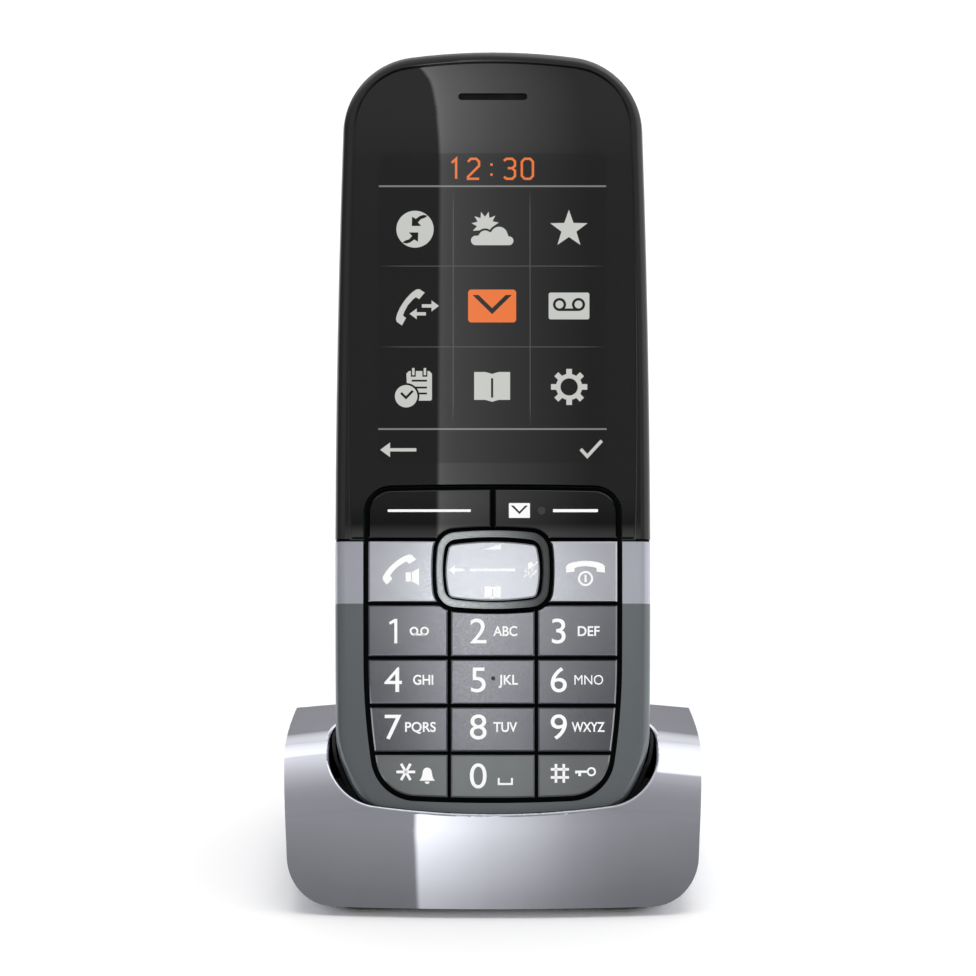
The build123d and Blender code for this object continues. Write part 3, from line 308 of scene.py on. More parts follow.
def cassette():
    """A tape cassette with two open reels joined by an open strip."""
    half_width, half_height, corner = 3.11, 2.06, 0.3
    reel_x, reel_z, radius, line = 1.45, 0.23, 1.01, 0.4
    dip = math.degrees(math.asin((radius - line) / radius))
    opening = arc(reel_x, reel_z, radius, -90, 180 + dip, 28)
    opening += arc(-reel_x, reel_z, radius, -dip, 270, 28)
    hubs = [[circle(x, reel_z, radius - line, 24)] for x in (-reel_x, reel_x)]
    return [[panel(-half_width, -half_height, half_width, half_height, corner), opening]] + hubs


def calendar():
    """A ruled calendar sheet on two rings, with a ticked disc before its corner."""
    disc_x, disc_z, disc, clear = -1.11, -1.28, 1.72, 2.02
    left, right, low, high = -1.08, 2.82, -1.96, 2.59
    top_corner, low_corner = 0.4, 0.2
    lines, line_end = ((0.195, -0.095), (-0.715, -1.005)), 2.06
    ring_x, ring_half, notch_half, notch_z = (1.74, -0.03), 0.19, 0.38, 1.71

    def rim(z_from, z_to):
        turns = [math.degrees(math.asin((z - disc_z) / clear)) for z in (z_from, z_to)]
        return arc(disc_x, disc_z, clear, *turns, 8)

    sheet = []
    z_from = disc_z + 0.999 * clear
    for line_top, line_foot in lines:
        sheet += rim(z_from, line_top) + [(line_end, line_top), (line_end, line_foot)]
        z_from = line_foot
    sheet += rim(z_from, low) + [(right - low_corner, low), (right, low + low_corner)]
    sheet += [(right, high - top_corner), (right - top_corner, high)]
    for x in ring_x:
        sheet += [(x + notch_half, high), (x + notch_half, notch_z)]
        sheet += [(x - notch_half, notch_z), (x - notch_half, high)]
    sheet += [(left + top_corner, high), (left, high - top_corner)]
    heading = panel(-0.27, 0.96, line_end, 1.25)
    tick = stroke([(-1.9, -0.76), (-1.14, -1.52), (-0.1, -0.45)], 0.37)
    rings = [[panel(x - ring_half, 1.95, x + ring_half, 3.05)] for x in ring_x[::-1]]
    return [[sheet, heading], [circle(disc_x, disc_z, disc), tick]] + rings


def book(half_width, height, slit):
    """An open book with a slit along its spine."""
    top = [(-1.0, 0.53), (-0.38, 0.53), (-0.15, 0.49), (0.0, 0.46), (0.15, 0.49), (0.38, 0.53), (1.0, 0.53)]
    bottom = [(x, z - 0.99) for x, z in top[::-1]]
    outline = [(x * half_width, z * height) for x, z in top + bottom]
    return [[outline, panel(-slit, -0.38 * height, slit, 0.31 * height)]]


def gear():
    """A gear wheel with eight square teeth."""
    teeth, hub, rim, tip, half_tooth = 8, 1.32, 2.0, 2.8, 0.435
    pitch = 360.0 / teeth
    low = math.degrees(math.asin(half_tooth / rim))
    high = math.degrees(math.asin(half_tooth / tip))
    loop = []
    for tooth in range(teeth):
        middle = pitch * tooth
        loop += arc(0, 0, tip, middle - high, middle + high, 1)
        loop += arc(0, 0, rim, middle + low, middle + pitch - low, 4)
    return [[loop, circle(0, 0, hub)]]


def bell():
    """A bell with its clapper."""
    dome = arc(0, 0.35, 0.68, 15, 165, 14)
    skirt = [(-0.78, -0.2), (-0.92, -0.6), (-1.16, -0.95), (1.16, -0.95), (0.92, -0.6), (0.78, -0.2)]
    return [[dome + skirt], [arc(0, -1.08, 0.36, 180, 360, 10)]]


def door_key():
    """A key lying on its side, with the bow on the right."""
    bow_x, bow, hole, tip, half = 0.89, 0.69, 0.42, -1.56, 0.17
    groups = [[circle(bow_x, 0, bow, 28), circle(bow_x, 0, hole, 20)]]
    groups.append([panel(tip, -half, 0.28, half)])
    groups.append([panel(-1.1, -0.66, -0.68, -0.1)])
    return groups + [[panel(tip, -0.3, -1.28, -0.1)]]


def asterisk():
    """A star of three crossing strokes."""
    reach, half = 1.42, 0.2
    return [placed([[panel(-reach, -half, reach, half)]], degrees=turn)[0] for turn in (0, 60, 120)]


def hash_sign():
    """Two upright and two level strokes."""
    half, reach_x, reach_z, apart_x, apart_z = 0.2, 1.38, 1.42, 0.59, 0.61
    bars = [[panel(x - half, -reach_z, x + half, reach_z)] for x in (-apart_x, apart_x)]
    return bars + [[panel(-reach_x, z - half, reach_x, z + half)] for z in (-apart_z, apart_z)]


def space_mark():
    """The sign for a blank: a level stroke with raised ends."""
    outer_x, inner_x, top, floor_z = 1.15, 0.85, 0.53, -0.23
    outer = [(-outer_x, top), (-outer_x, -top), (outer_x, -top), (outer_x, top)]
    return [[outer + [(inner_x, top), (inner_x, floor_z), (-inner_x, floor_z), (-inner_x, top)]]]


def loudspeaker_symbol():
    """A loudspeaker seen from the side."""
    horn = [(-0.06, -0.74), (1.02, -1.33), (1.02, 1.33), (-0.06, 0.74)]
    return [[panel(-1.02, -0.71, -0.2, 0.71)], [horn]]


def power_symbol():
    """A ring round an upright stroke."""
    return [[circle(0, 0, 1.15), circle(0, 0, 0.84)], [panel(-0.16, -0.55, 0.16, 0.55)]]


def muted_microphone():
    """A struck-out microphone."""
    capsule = panel(-0.42, -0.25, 0.42, 1.2, 0.4)
    yoke = stroke(arc(0, 0.15, 0.85, 190, 350, 12), 0.24)
    stand = panel(-0.12, -1.25, 0.12, -0.6)
    return [[capsule], [yoke], [stand], [stroke([(-1.05, -1.1), (1.05, 1.25)], 0.2)]]


def figure_one(height):
    """The figure 1 with its flag."""
    half = 1.88
    flag = [(0.2, half), (-0.68, 1.35), (-0.5, 1.0), (0.17, 1.36)]
    return placed([[[(0.17, -half), (0.62, -half), (0.62, half)] + flag]], size=height / (2 * half))


# The clock's figures as strokes, in shares of a figure's width and height
CLOCK_STROKES = {
    "0": [[(0.25, 0), (0.75, 0), (1, 0.15), (1, 0.85), (0.75, 1), (0.25, 1), (0, 0.85), (0, 0.15), (0.25, 0)]],
    "1": [[(0.15, 0.8), (0.55, 1), (0.55, 0)]],
    "2": [[(0, 0.85), (0.25, 1), (0.75, 1), (1, 0.85), (1, 0.65), (0, 0.1), (0, 0), (1, 0)]],
    "3": [[(0, 0.9), (0.25, 1), (0.75, 1), (1, 0.87), (1, 0.65), (0.75, 0.53), (0.35, 0.53)],
          [(0.75, 0.53), (1, 0.4), (1, 0.13), (0.75, 0), (0.25, 0), (0, 0.1)]],
    ":": [[(0.5, 0.15), (0.5, 0.27)], [(0.5, 0.65), (0.5, 0.77)]],
}


def clock_figures(text, x, z):
    """Figures of thin even strokes, as a dot display draws them."""
    groups = []
    left = x - (len(text) * FIGURE_PITCH - FIGURE_PITCH + FIGURE_WIDTH) / 2
    for i, sign in enumerate(text):
        start = left + i * FIGURE_PITCH
        for points in CLOCK_STROKES[sign]:
            path = [(start + FIGURE_WIDTH * u, z + FIGURE_HEIGHT * (v - 0.5)) for u, v in points]
            groups.append([stroke(path, FIGURE_STROKE)])
    return groups


# Building pieces

def prism(groups, y_front, y_back):
    """A mesh of flat groups with a front and a back face."""
    points, faces = [], []
    for loops in groups:
        flat = [point for loop in loops for point in loop]
        start, count = len(points), len(flat)
        points += [(x, y_front, z) for x, z in flat]
        points += [(x, y_back, z) for x, z in flat]
        for a, b, c in tessellate_polygon([[Vector((x, z, 0.0)) for x, z in loop] for loop in loops]):
            faces.append((start + a, start + b, start + c))
            faces.append((start + count + c, start + count + b, start + count + a))
        first = start
        for loop in loops:
            for i in range(len(loop)):
                a, b = first + i, first + (i + 1) % len(loop)
                faces.append((a, b, b + count, a + count))
            first += len(loop)
    mesh = bpy.data.meshes.new("prism")
    mesh.from_pydata(points, [], faces)
    return mesh


def ink(groups, face_y=KEY_FACE_Y):
    """A mesh of printed signs on a key's face."""
    return prism(groups, face_y - INK_PROUD, face_y + INK_SUNK)


def lit(groups, proud=SYMBOL_PROUD):
    """A mesh of what the screen shows."""
    return prism(groups, WINDOW_FACE_Y - proud, WINDOW_FACE_Y + INK_SUNK)


def text_mesh(text, size, bold=0.0, half_depth=0.0):
    """A mesh of text as the font draws it, lying in the plane of x and y."""
    curve = bpy.data.curves.new("lettering", "FONT")
    curve.body = text
    curve.size = size
    curve.offset = bold
    curve.extrude = half_depth
    holder = bpy.data.objects.new("lettering", curve)
    mesh = bpy.data.meshes.new_from_object(holder)
    bpy.data.objects.remove(holder)
    bpy.data.curves.remove(curve)
    return mesh


def capital_share():
    """The height of a capital as a share of the font's size."""
    mesh = text_mesh("H", 1.0)
    heights = [v.co.y for v in mesh.vertices]
    bpy.data.meshes.remove(mesh)
    return max(heights) - min(heights)


CAPITAL_SHARE = capital_share()


def ink_text(text, x, z, height, width=0.0, bold=0.0, stretch=1.0):
    """A mesh of a key's text with its capitals' middle at (x, z), stretched or fitted to a given width."""
    y_front, y_back = KEY_FACE_Y - INK_PROUD, KEY_FACE_Y + INK_SUNK
    mesh = text_mesh(text, height / CAPITAL_SHARE, bold, (y_back - y_front) / 2)
    across = [v.co.x for v in mesh.vertices]
    middle = (min(across) + max(across)) / 2
    if width:
        stretch = width / (max(across) - min(across))
    for v in mesh.vertices:
        v.co = (x + (v.co.x - middle) * stretch, (y_front + y_back) / 2 - v.co.z, v.co.y + z - height / 2)
    return mesh


def raised_dot(x, z):
    """A mesh of a flattened ball that is half sunk into a key."""
    ball = bmesh.new()
    bmesh.ops.create_uvsphere(ball, u_segments=20, v_segments=12, radius=DOT_RADIUS)
    bmesh.ops.scale(ball, vec=(1.0, DOT_FLATNESS, 1.0), verts=ball.verts)
    bmesh.ops.translate(ball, vec=(x, KEY_FACE_Y, z), verts=ball.verts)
    mesh = bpy.data.meshes.new("dot")
    ball.to_mesh(mesh)
    ball.free()
    return mesh


def add_print(name, meshes, body, surface):
    """Joins flat meshes into one piece on the handset that moves with a body."""
    joined = bmesh.new()
    for mesh in meshes:
        joined.from_mesh(mesh)
        bpy.data.meshes.remove(mesh)
    bmesh.ops.remove_doubles(joined, verts=joined.verts, dist=WELD_DISTANCE)
    bmesh.ops.recalc_face_normals(joined, faces=joined.faces)
    joined.transform(HANDSET)
    mesh = bpy.data.meshes.new(name)
    joined.to_mesh(mesh)
    joined.free()
    mesh.materials.append(surfaces[surface])
    piece = bpy.data.objects.new(name, mesh)
    bpy.context.scene.collection.objects.link(piece)
    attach(piece, body)


# Nodes of materials. The world takes a material's place in the same helpers, as it has a node tree too

def add_node(material, kind, **settings):
    """A new node with its settings."""
    node = material.node_tree.nodes.new(kind)
    for name, value in settings.items():
        setattr(node, name, value)
    return node


def join(material, output, target):
    """Links an output to an input."""
    material.node_tree.links.new(output, target)


def calc(material, operation, *values):
    """A number worked out from numbers and outputs."""
    node = add_node(material, "ShaderNodeMath", operation=operation)
    for socket, value in zip(node.inputs, values):
        if isinstance(value, bpy.types.NodeSocket):
            join(material, value, socket)
        else:
            socket.default_value = value
    return node.outputs["Value"]


def mapped(material, factor, start, end, low=0.0, high=1.0, curve="LINEAR"):
    """A number that runs from low to high while a factor runs from start to end."""
    node = add_node(material, "ShaderNodeMapRange", interpolation_type=curve)
    for socket, value in (("From Min", start), ("From Max", end), ("To Min", low), ("To Max", high)):
        node.inputs[socket].default_value = value
    join(material, factor, node.inputs["Value"])
    return node.outputs["Result"]


def mixed(material, factor, first, second):
    """A colour between two colours or colour outputs."""
    node = add_node(material, "ShaderNodeMix", data_type="RGBA")
    sockets = [s for s in node.inputs if s.type == "RGBA"]
    for socket, value in zip(sockets, (first, second)):
        if isinstance(value, bpy.types.NodeSocket):
            join(material, value, socket)
        else:
            socket.default_value = (*value, 1.0)
    join(material, factor, node.inputs["Factor"])
    return [s for s in node.outputs if s.type == "RGBA"][0]


def axes(material, output="Object"):
    """The X, Y and Z outputs of a texture coordinate."""
    place = add_node(material, "ShaderNodeTexCoord")
    split = add_node(material, "ShaderNodeSeparateXYZ")
    join(material, place.outputs[output], split.inputs["Vector"])
    return split.outputs


def height_on_handset(material):
    """How far up the handset a point lies, in metres from the foot."""
    place = add_node(material, "ShaderNodeTexCoord")
    dot = add_node(material, "ShaderNodeVectorMath", operation="DOT_PRODUCT")
    dot.inputs[1].default_value = ALONG
    join(material, place.outputs["Object"], dot.inputs[0])
    return calc(material, "SUBTRACT", dot.outputs["Value"], SEAT.dot(ALONG))


def object_noise(material, size_mm):
    """Noise fixed to the piece, with a grain of about size_mm."""
    place = add_node(material, "ShaderNodeTexCoord")
    scale = add_node(material, "ShaderNodeMapping")
    scale.inputs["Scale"].default_value = [1.0 / (size_mm * MM)] * 3
    noise = add_node(material, "ShaderNodeTexNoise")
    noise.inputs["Scale"].default_value = 1.0
    noise.inputs["Detail"].default_value = NOISE_DETAIL
    join(material, place.outputs["Object"], scale.inputs["Vector"])
    join(material, scale.outputs["Vector"], noise.inputs["Vector"])
    return noise.outputs["Fac"]


# Surfaces

def shader_of(material):
    """A material's main shader."""
    return material.node_tree.nodes["Principled BSDF"]


def grey(value, tint=(1.0, 1.0, 1.0)):
    """A grey, or a tint of it."""
    return tuple(value * t for t in tint)


def finish(name, dark, light, rough, grain, bump=0.0, sockets=None):
    """A surface with grain: colour between dark and light, roughness between two values, and fine relief."""
    material = bpy.data.materials.new(name)
    material.use_nodes = True
    shader = shader_of(material)
    for socket, value in (sockets or {}).items():
        shader.inputs[socket].default_value = value
    noise = object_noise(material, grain)
    broad = mapped(material, object_noise(material, BROAD_GRAIN * grain), *NOISE_SPAN)
    join(material, mixed(material, broad, dark, light), shader.inputs["Base Color"])
    join(material, mapped(material, noise, *NOISE_SPAN, *rough), shader.inputs["Roughness"])
    if bump:
        relief = add_node(material, "ShaderNodeBump")
        relief.inputs["Strength"].default_value = bump
        relief.inputs["Distance"].default_value = RELIEF_SHARE * grain * MM
        join(material, noise, relief.inputs["Height"])
        join(material, relief.outputs["Normal"], shader.inputs["Normal"])
    return material


def paint_reflection_above(material, height_mm, colour):
    """Paints a reflection: the part of the handset above a height takes another colour that stands in for a
    reflected band of light.
    """
    start, end = (height_mm - REFLECTION_EDGE_HALF) * MM, (height_mm + REFLECTION_EDGE_HALF) * MM
    above = mapped(material, height_on_handset(material), start, end)
    base = shader_of(material).inputs["Base Color"]
    join(material, mixed(material, above, base.links[0].from_socket, colour), base)


def shade_across(material, half_width_mm, left, right):
    """Paints light and shade into a material's colour: multiplies it by a level that passes from left to right
    over the object's middle.
    """
    share = mapped(material, axes(material)["X"], -half_width_mm * MM, half_width_mm * MM)
    base = shader_of(material).inputs["Base Color"]
    tint = add_node(material, "ShaderNodeVectorMath", operation="MULTIPLY")
    join(material, base.links[0].from_socket, tint.inputs[0])
    join(material, mixed(material, share, grey(left), grey(right)), tint.inputs[1])
    join(material, tint.outputs["Vector"], base)


def soften_shoulder(material):
    """Rounds off the shading where the cradle's flat shoulders pass into its front roll."""
    start, end = (y * MM for y in SHOULDER_SPAN)
    drop = mapped(material, axes(material)["Y"], start, end, curve="SMOOTHSTEP")
    slope = add_node(material, "ShaderNodeBump")
    slope.inputs["Strength"].default_value = 1.0
    slope.inputs["Distance"].default_value = SHOULDER_DROP * MM
    join(material, drop, slope.inputs["Height"])
    join(material, slope.outputs["Normal"], shader_of(material).inputs["Normal"])


def lit_symbol(name, colour, strength):
    """A lit part of the display under glossy glass."""
    material = finish(name, grey(0.01), grey(0.012), (0.015, 0.03), 0.6)
    shader_of(material).inputs["Emission Color"].default_value = (*colour, 1.0)
    shader_of(material).inputs["Emission Strength"].default_value = strength
    return material


def fade_ends(material, colour):
    """Lets the lit lines of the grid fade out towards their ends."""
    middle_x = (SCREEN[0] + SCREEN[2]) / 2
    middle_z = (RULE_Z[0] + RULE_Z[1]) / 2
    shares = []
    for along, middle, reach in (
        (axes(material)["X"], middle_x, SCREEN[2] - middle_x),
        (height_on_handset(material), middle_z, RULE_Z[1] - middle_z),
    ):
        away = calc(material, "ABSOLUTE", calc(material, "SUBTRACT", along, middle * MM))
        shares.append(mapped(material, away, reach * MM, (reach - GRID_FADE) * MM))
    fade = calc(material, "MULTIPLY", *shares)
    join(material, mixed(material, fade, grey(0.0), colour), shader_of(material).inputs["Emission Color"])


SPECULAR = "Specular IOR Level"
METAL = {"Metallic": 1.0}
PAINT = {"Metallic": 0.55}
LAVENDER = (0.965, 0.985, 1.07)
COOL = (0.95, 1.0, 1.02)
SLATE = (0.91, 1.0, 1.06)
# Colour of the painted reflection band on the frame's top
REFLECTION_BAND_COLOUR = grey(0.55, (0.96, 0.98, 1.1))
WHITE = (1.0, 1.0, 1.0)

# Darkest and lightest colour, range of roughness, grain in millimetres, relief, other shader values
FINISHES = {
    "black_gloss": (grey(0.003), grey(0.004), (0.02, 0.04), 0.35, 0.0, {SPECULAR: 0.9}),
    "window_black": (grey(0.0015), grey(0.002), (0.004, 0.008), 0.6, 0.0, {SPECULAR: 1.0}),
    "softkey_black": (grey(0.001), grey(0.002), (0.006, 0.012), 0.4, 0.0, {SPECULAR: 0.85}),
    "case_black": (grey(0.016), grey(0.022), (0.42, 0.55), 0.3, 0.5),
    "cover_black": (grey(0.018), grey(0.024), (0.4, 0.52), 0.3, 0.5),
    "inner_black": (grey(0.003), grey(0.005), (0.4, 0.55), 0.4, 0.2, {SPECULAR: 0.08}),
    "base_black": (grey(0.016), grey(0.022), (0.45, 0.6), 0.4, 0.4),
    "foot_rubber": (grey(0.018), grey(0.026), (0.7, 0.85), 0.3, 0.4),
    "web_rubber": (grey(0.012), grey(0.018), (0.6, 0.75), 0.4, 0.2),
    "silver_key": (grey(0.75, LAVENDER), grey(0.78, LAVENDER), (0.08, 0.12), 0.25, 0.0, METAL),
    "grey_key": (grey(0.325, LAVENDER), grey(0.345, LAVENDER), (0.08, 0.12), 0.25, 0.0, METAL),
    "dark_key": (grey(0.225, COOL), grey(0.245, COOL), (0.08, 0.12), 0.25, 0.0, PAINT),
    "select_cap": (grey(0.7, LAVENDER), grey(0.72, LAVENDER), (0.08, 0.12), 0.25, 0.0, PAINT),
    "silver_frame": (grey(0.2, SLATE), grey(0.2, SLATE), (0.10, 0.16), 0.25, 0.0, PAINT),
    "ring_chrome": ((0.47, 0.5, 0.51), (0.5, 0.53, 0.54), (0.08, 0.12), 0.3, 0.0, METAL),
    "cradle_silver": ((0.722, 0.732, 0.81), (0.752, 0.762, 0.84), (0.015, 0.03), 0.5, 0.0, METAL),
    "gold_contact": ((0.83, 0.6, 0.27), (0.9, 0.66, 0.32), (0.16, 0.28), 0.2, 0.1, METAL),
    "bright_steel": (grey(0.55), grey(0.62), (0.2, 0.32), 0.2, 0.1, METAL),
    "iron": (grey(0.10), grey(0.16), (0.5, 0.7), 0.5, 0.4, METAL),
    "solder_mask": ((0.010, 0.075, 0.030), (0.016, 0.10, 0.04), (0.3, 0.4), 0.5, 0.1),
    "battery_sleeve": ((0.10, 0.11, 0.13), (0.13, 0.14, 0.16), (0.3, 0.4), 0.6, 0.1),
    "white_guide": (grey(0.78), grey(0.84), (0.35, 0.45), 0.4, 0.05),
    "capsule_can": (grey(0.10), grey(0.14), (0.35, 0.45), 0.3, 0.1, METAL),
    "mesh_black": (grey(0.006), grey(0.02), (0.5, 0.7), 0.12, 0.6),
    "led_guide": (grey(0.025), grey(0.035), (0.12, 0.2), 0.3),
    "white_ink": (grey(0.95), grey(0.98), (0.45, 0.55), 0.2, 0.05),
    "screen_dark": (grey(0.005), grey(0.006), (0.004, 0.008), 0.6, 0.0, {SPECULAR: 0.7}),
    "floor_white": (grey(0.95), grey(0.96), (0.75, 0.85), 3.0, 0.0, {SPECULAR: 0.0}),
}
# Colour and strength of the lit parts
LIT_SYMBOLS = {
    "screen_white": ((0.95, 0.97, 0.92), 0.58),
    "screen_orange": ((1.0, 0.21, 0.035), 0.8),
    "screen_rule": (WHITE, 0.2),
    "screen_grid": (WHITE, 0.075),
}
surfaces = {name: finish(name, *values) for name, values in FINISHES.items()}
surfaces |= {name: lit_symbol(name, *values) for name, values in LIT_SYMBOLS.items()}
# Painted reflection: the frame above the line takes the lighter colour of a reflected band of light
paint_reflection_above(surfaces["silver_frame"], REFLECTION_EDGE_Z, REFLECTION_BAND_COLOUR)
# Painted shade and reflection: the frame darker on the left, the ring bright on the left and dark on the right
shade_across(surfaces["silver_frame"], *FRAME_SHADE)
shade_across(surfaces["ring_chrome"], *RING_SHADE)
soften_shoulder(surfaces["cradle_silver"])
fade_ends(surfaces["screen_grid"], WHITE)

NODES_BY_SURFACE = {
    "black_gloss": ["upper_bezel"],
    "window_black": ["display_window", "lcd_panel"],
    "silver_frame": ["lower_frame"],
    "case_black": ["back_shell"],
    "cover_black": ["battery_cover"],
    "white_guide": ["backlight"],
    "mesh_black": ["earpiece_mesh"],
    "capsule_can": ["earpiece_receiver", "microphone", "loudspeaker"],
    "solder_mask": ["main_board", "contact_board"],
    "battery_sleeve": ["battery"],
    "ring_chrome": ["nav_ring"],
    "web_rubber": ["nav_rocker_frame"],
    "select_cap": ["nav_select_key"],
    "led_guide": ["message_led"],
    "softkey_black": ["softkey_left", "softkey_right"],
    "silver_key": ["call_key", "end_key"],
    "grey_key": ["key_1", "key_2", "key_3", "key_4", "key_5", "key_6", "key_7", "key_8", "key_9"],
    "dark_key": ["key_star", "key_0", "key_hash"],
    "cradle_silver": ["cradle_cover"],
    "inner_black": ["keypad_plate", "cradle_liner", "contact_carrier"],
    "base_black": ["cradle_base", "power_inlet"],
    "foot_rubber": ["cradle_feet"],
    "iron": ["cradle_ballast"],
    "bright_steel": [
        "vibration_motor", "dome_sheet", "board_screws", "rf_shield", "cradle_screws",
        "pin_spring_left", "pin_spring_right",
    ],
    "gold_contact": [
        "handset_charge_pads", "antenna", "battery_contacts", "inlet_pins", "charge_pin_left", "charge_pin_right",
    ],
}
for surface, names in NODES_BY_SURFACE.items():
    for name in names:
        nodes[name].data.materials.clear()
        nodes[name].data.materials.append(surfaces[surface])


# Legends on the keys

for key, column, row, digit, letters, shift, width in LEGENDS:
    if key == "key_1":
        marks = [ink(placed(figure_one(DIGIT_HEIGHT), DIGIT_X[column], ROW_Z[row]))]
        marks.append(ink(placed(reels(0.8, 0.66, 0.27), *REELS_AT)))
    else:
        marks = [ink_text(digit, DIGIT_X[column], ROW_Z[row], DIGIT_HEIGHT, stretch=DIGIT_STRETCH)]
    if letters:
        # Bolder strokes would clog the M
        bold = 0.0 if "M" in letters else LETTER_BOLD
        marks.append(ink_text(letters, LETTER_X[column] + shift, ROW_Z[row], LETTER_HEIGHT, width, bold))
    if key == "key_0":
        marks.append(ink(placed(space_mark(), *SPACE_AT)))
    add_print("legend_" + key, marks, key, "white_ink")
add_print("dot_key_5", [raised_dot(*DOT_PLACE)], "key_5", "led_guide")

star_legend = placed(asterisk(), *ASTERISK_AT) + placed(bell(), *BELL_AT)
add_print("legend_key_star", [ink(star_legend)], "key_star", "white_ink")
hash_legend = placed(hash_sign(), *HASH_AT) + placed(door_key(), *DOOR_KEY_AT)
add_print("legend_key_hash", [ink(hash_legend)], "key_hash", "white_ink")
call_legend = placed(handset_symbol(), *CALL_AT, CALL_TURN) + placed(loudspeaker_symbol(), *LOUDSPEAKER_AT)
add_print("legend_call_key", [ink(call_legend)], "call_key", "white_ink")
end_legend = placed(handset_symbol(), *END_AT) + placed(power_symbol(), *POWER_AT)
add_print("legend_end_key", [ink(end_legend)], "end_key", "white_ink")

select_legend = [[VOLUME_WEDGE], [panel(*SELECT_BAR)]]
select_legend += placed(arrow(2.5, 1.0, 0.42), *SELECT_ARROW_AT, 180)
select_legend += placed(muted_microphone(), *MUTED_AT) + placed(book(1.24, 1.72, 0.1), *SELECT_BOOK_AT)
add_print("legend_nav_select", [ink(select_legend, SELECT_FACE_Y)], "nav_select", "white_ink")

left_mark = [[panel(*SOFTKEY_LEFT_BAR, SOFTKEY_BAR_RADIUS)]]
add_print("mark_softkey_left", [ink(left_mark, SOFTKEY_FACE_Y)], "softkey_left", "white_ink")
right_mark = placed(envelope(1.6, 1.13, 0.12, 0.42), *SOFTKEY_ENVELOPE_AT)
right_mark += [[panel(*SOFTKEY_RIGHT_BAR, SOFTKEY_BAR_RADIUS)]]
add_print("mark_softkey_right", [ink(right_mark, SOFTKEY_FACE_Y)], "softkey_right", "white_ink")


# What the screen shows

left, _, right, _ = SCREEN
add_print("screen_area", [lit([[panel(*SCREEN, SCREEN_RADIUS)]], SCREEN_PROUD)], "handset", "screen_dark")
rules = [[panel(left + RULE_INSET, z - RULE_HALF, right - RULE_INSET, z + RULE_HALF)] for z in RULE_Z]
add_print("screen_rules", [lit(rules)], "handset", "screen_rule")
grid_low, grid_high = RULE_Z[0] + GRID_TO_RULE, RULE_Z[1] - GRID_TO_RULE
grid = [[panel(x - GRID_HALF, grid_low, x + GRID_HALF, grid_high)] for x in GRID_X]
grid += [[panel(left + GRID_INSET, z - GRID_HALF, right - GRID_INSET, z + GRID_HALF)] for z in GRID_Z]
add_print("screen_grid", [lit(grid, GRID_PROUD)], "handset", "screen_grid")

symbols = placed(exchange(), ICON_X[0], ICON_Z[0])
symbols += placed(cloud_and_sun(), ICON_X[1], ICON_Z[0])
symbols += placed(star(), ICON_X[2], ICON_Z[0])
symbols += placed(calls(), ICON_X[0], ICON_Z[1])
symbols += placed(cassette(), ICON_X[2], ICON_Z[1])
symbols += placed(calendar(), *CALENDAR_AT)
symbols += placed(book(2.74, 4.32, 0.17), ICON_X[1], ICON_Z[2])
symbols += placed(gear(), ICON_X[2], ICON_Z[2])
symbols += placed(arrow(5.5, 1.5, 0.5), *BACK_ARROW_AT, 180)
symbols.append([stroke(TICK, TICK_STROKE)])
add_print("screen_symbols", [lit(symbols)], "handset", "screen_white")
chosen = placed(envelope(3.67, 2.53, 0.5, 0.95), ICON_X[1], ICON_Z[1])
clock = clock_figures("12:30", *CLOCK_AT)
add_print("screen_chosen", [lit(chosen), lit(clock)], "handset", "screen_orange")


# Floor, light and camera

def ramp_of(material, factor, start, end, stops):
    """A share of BRIGHTEST that follows stops of (place, value) between start and end."""
    share = mapped(material, factor, start, end)
    ramp = add_node(material, "ShaderNodeValToRGB")
    elements = ramp.color_ramp.elements
    while len(elements) < len(stops):
        elements.new(0.5)
    for element, (place, _) in zip(elements, stops):
        element.position = (place - start) / (end - start)
    for element, (_, value) in zip(elements, stops):
        element.color = (*grey(value / BRIGHTEST), 1.0)
    join(material, share, ramp.inputs["Fac"])
    return ramp.outputs["Color"]


def card(name, depth, x_range, z_range, plain, across, upward, lean):
    """An upright light card before the object, in metres.

    Its brightness is plain, by stops upwards, plus across, by stops to the right, times upward, by stops upwards.
    The stops of lean move the pattern to the left with height.
    """
    material = bpy.data.materials.new(name)
    material.use_nodes = True
    material.node_tree.nodes.clear()
    place = axes(material)
    shift = ramp_of(material, place["Z"], *z_range, lean)
    moved = calc(material, "MULTIPLY_ADD", shift, BRIGHTEST, place["X"])
    level = ramp_of(material, moved, *x_range, across)
    height = ramp_of(material, place["Z"], *z_range, upward)
    even = calc(material, "MULTIPLY", ramp_of(material, place["Z"], *z_range, plain), BRIGHTEST)
    pattern = calc(material, "MULTIPLY", calc(material, "MULTIPLY", level, height), BRIGHTEST * BRIGHTEST)
    glow = add_node(material, "ShaderNodeEmission")
    output = add_node(material, "ShaderNodeOutputMaterial")
    join(material, calc(material, "ADD", even, pattern), glow.inputs["Strength"])
    join(material, glow.outputs["Emission"], output.inputs["Surface"])
    mesh = bpy.data.meshes.new(name)
    corners = panel(x_range[0], z_range[0], x_range[1], z_range[1])
    mesh.from_pydata([(x, depth, z) for x, z in corners], [], [(0, 1, 2, 3)])
    mesh.materials.append(material)
    piece = bpy.data.objects.new(name, mesh)
    piece.visible_camera = False
    piece.visible_diffuse = False
    piece.visible_shadow = False
    bpy.context.scene.collection.objects.link(piece)


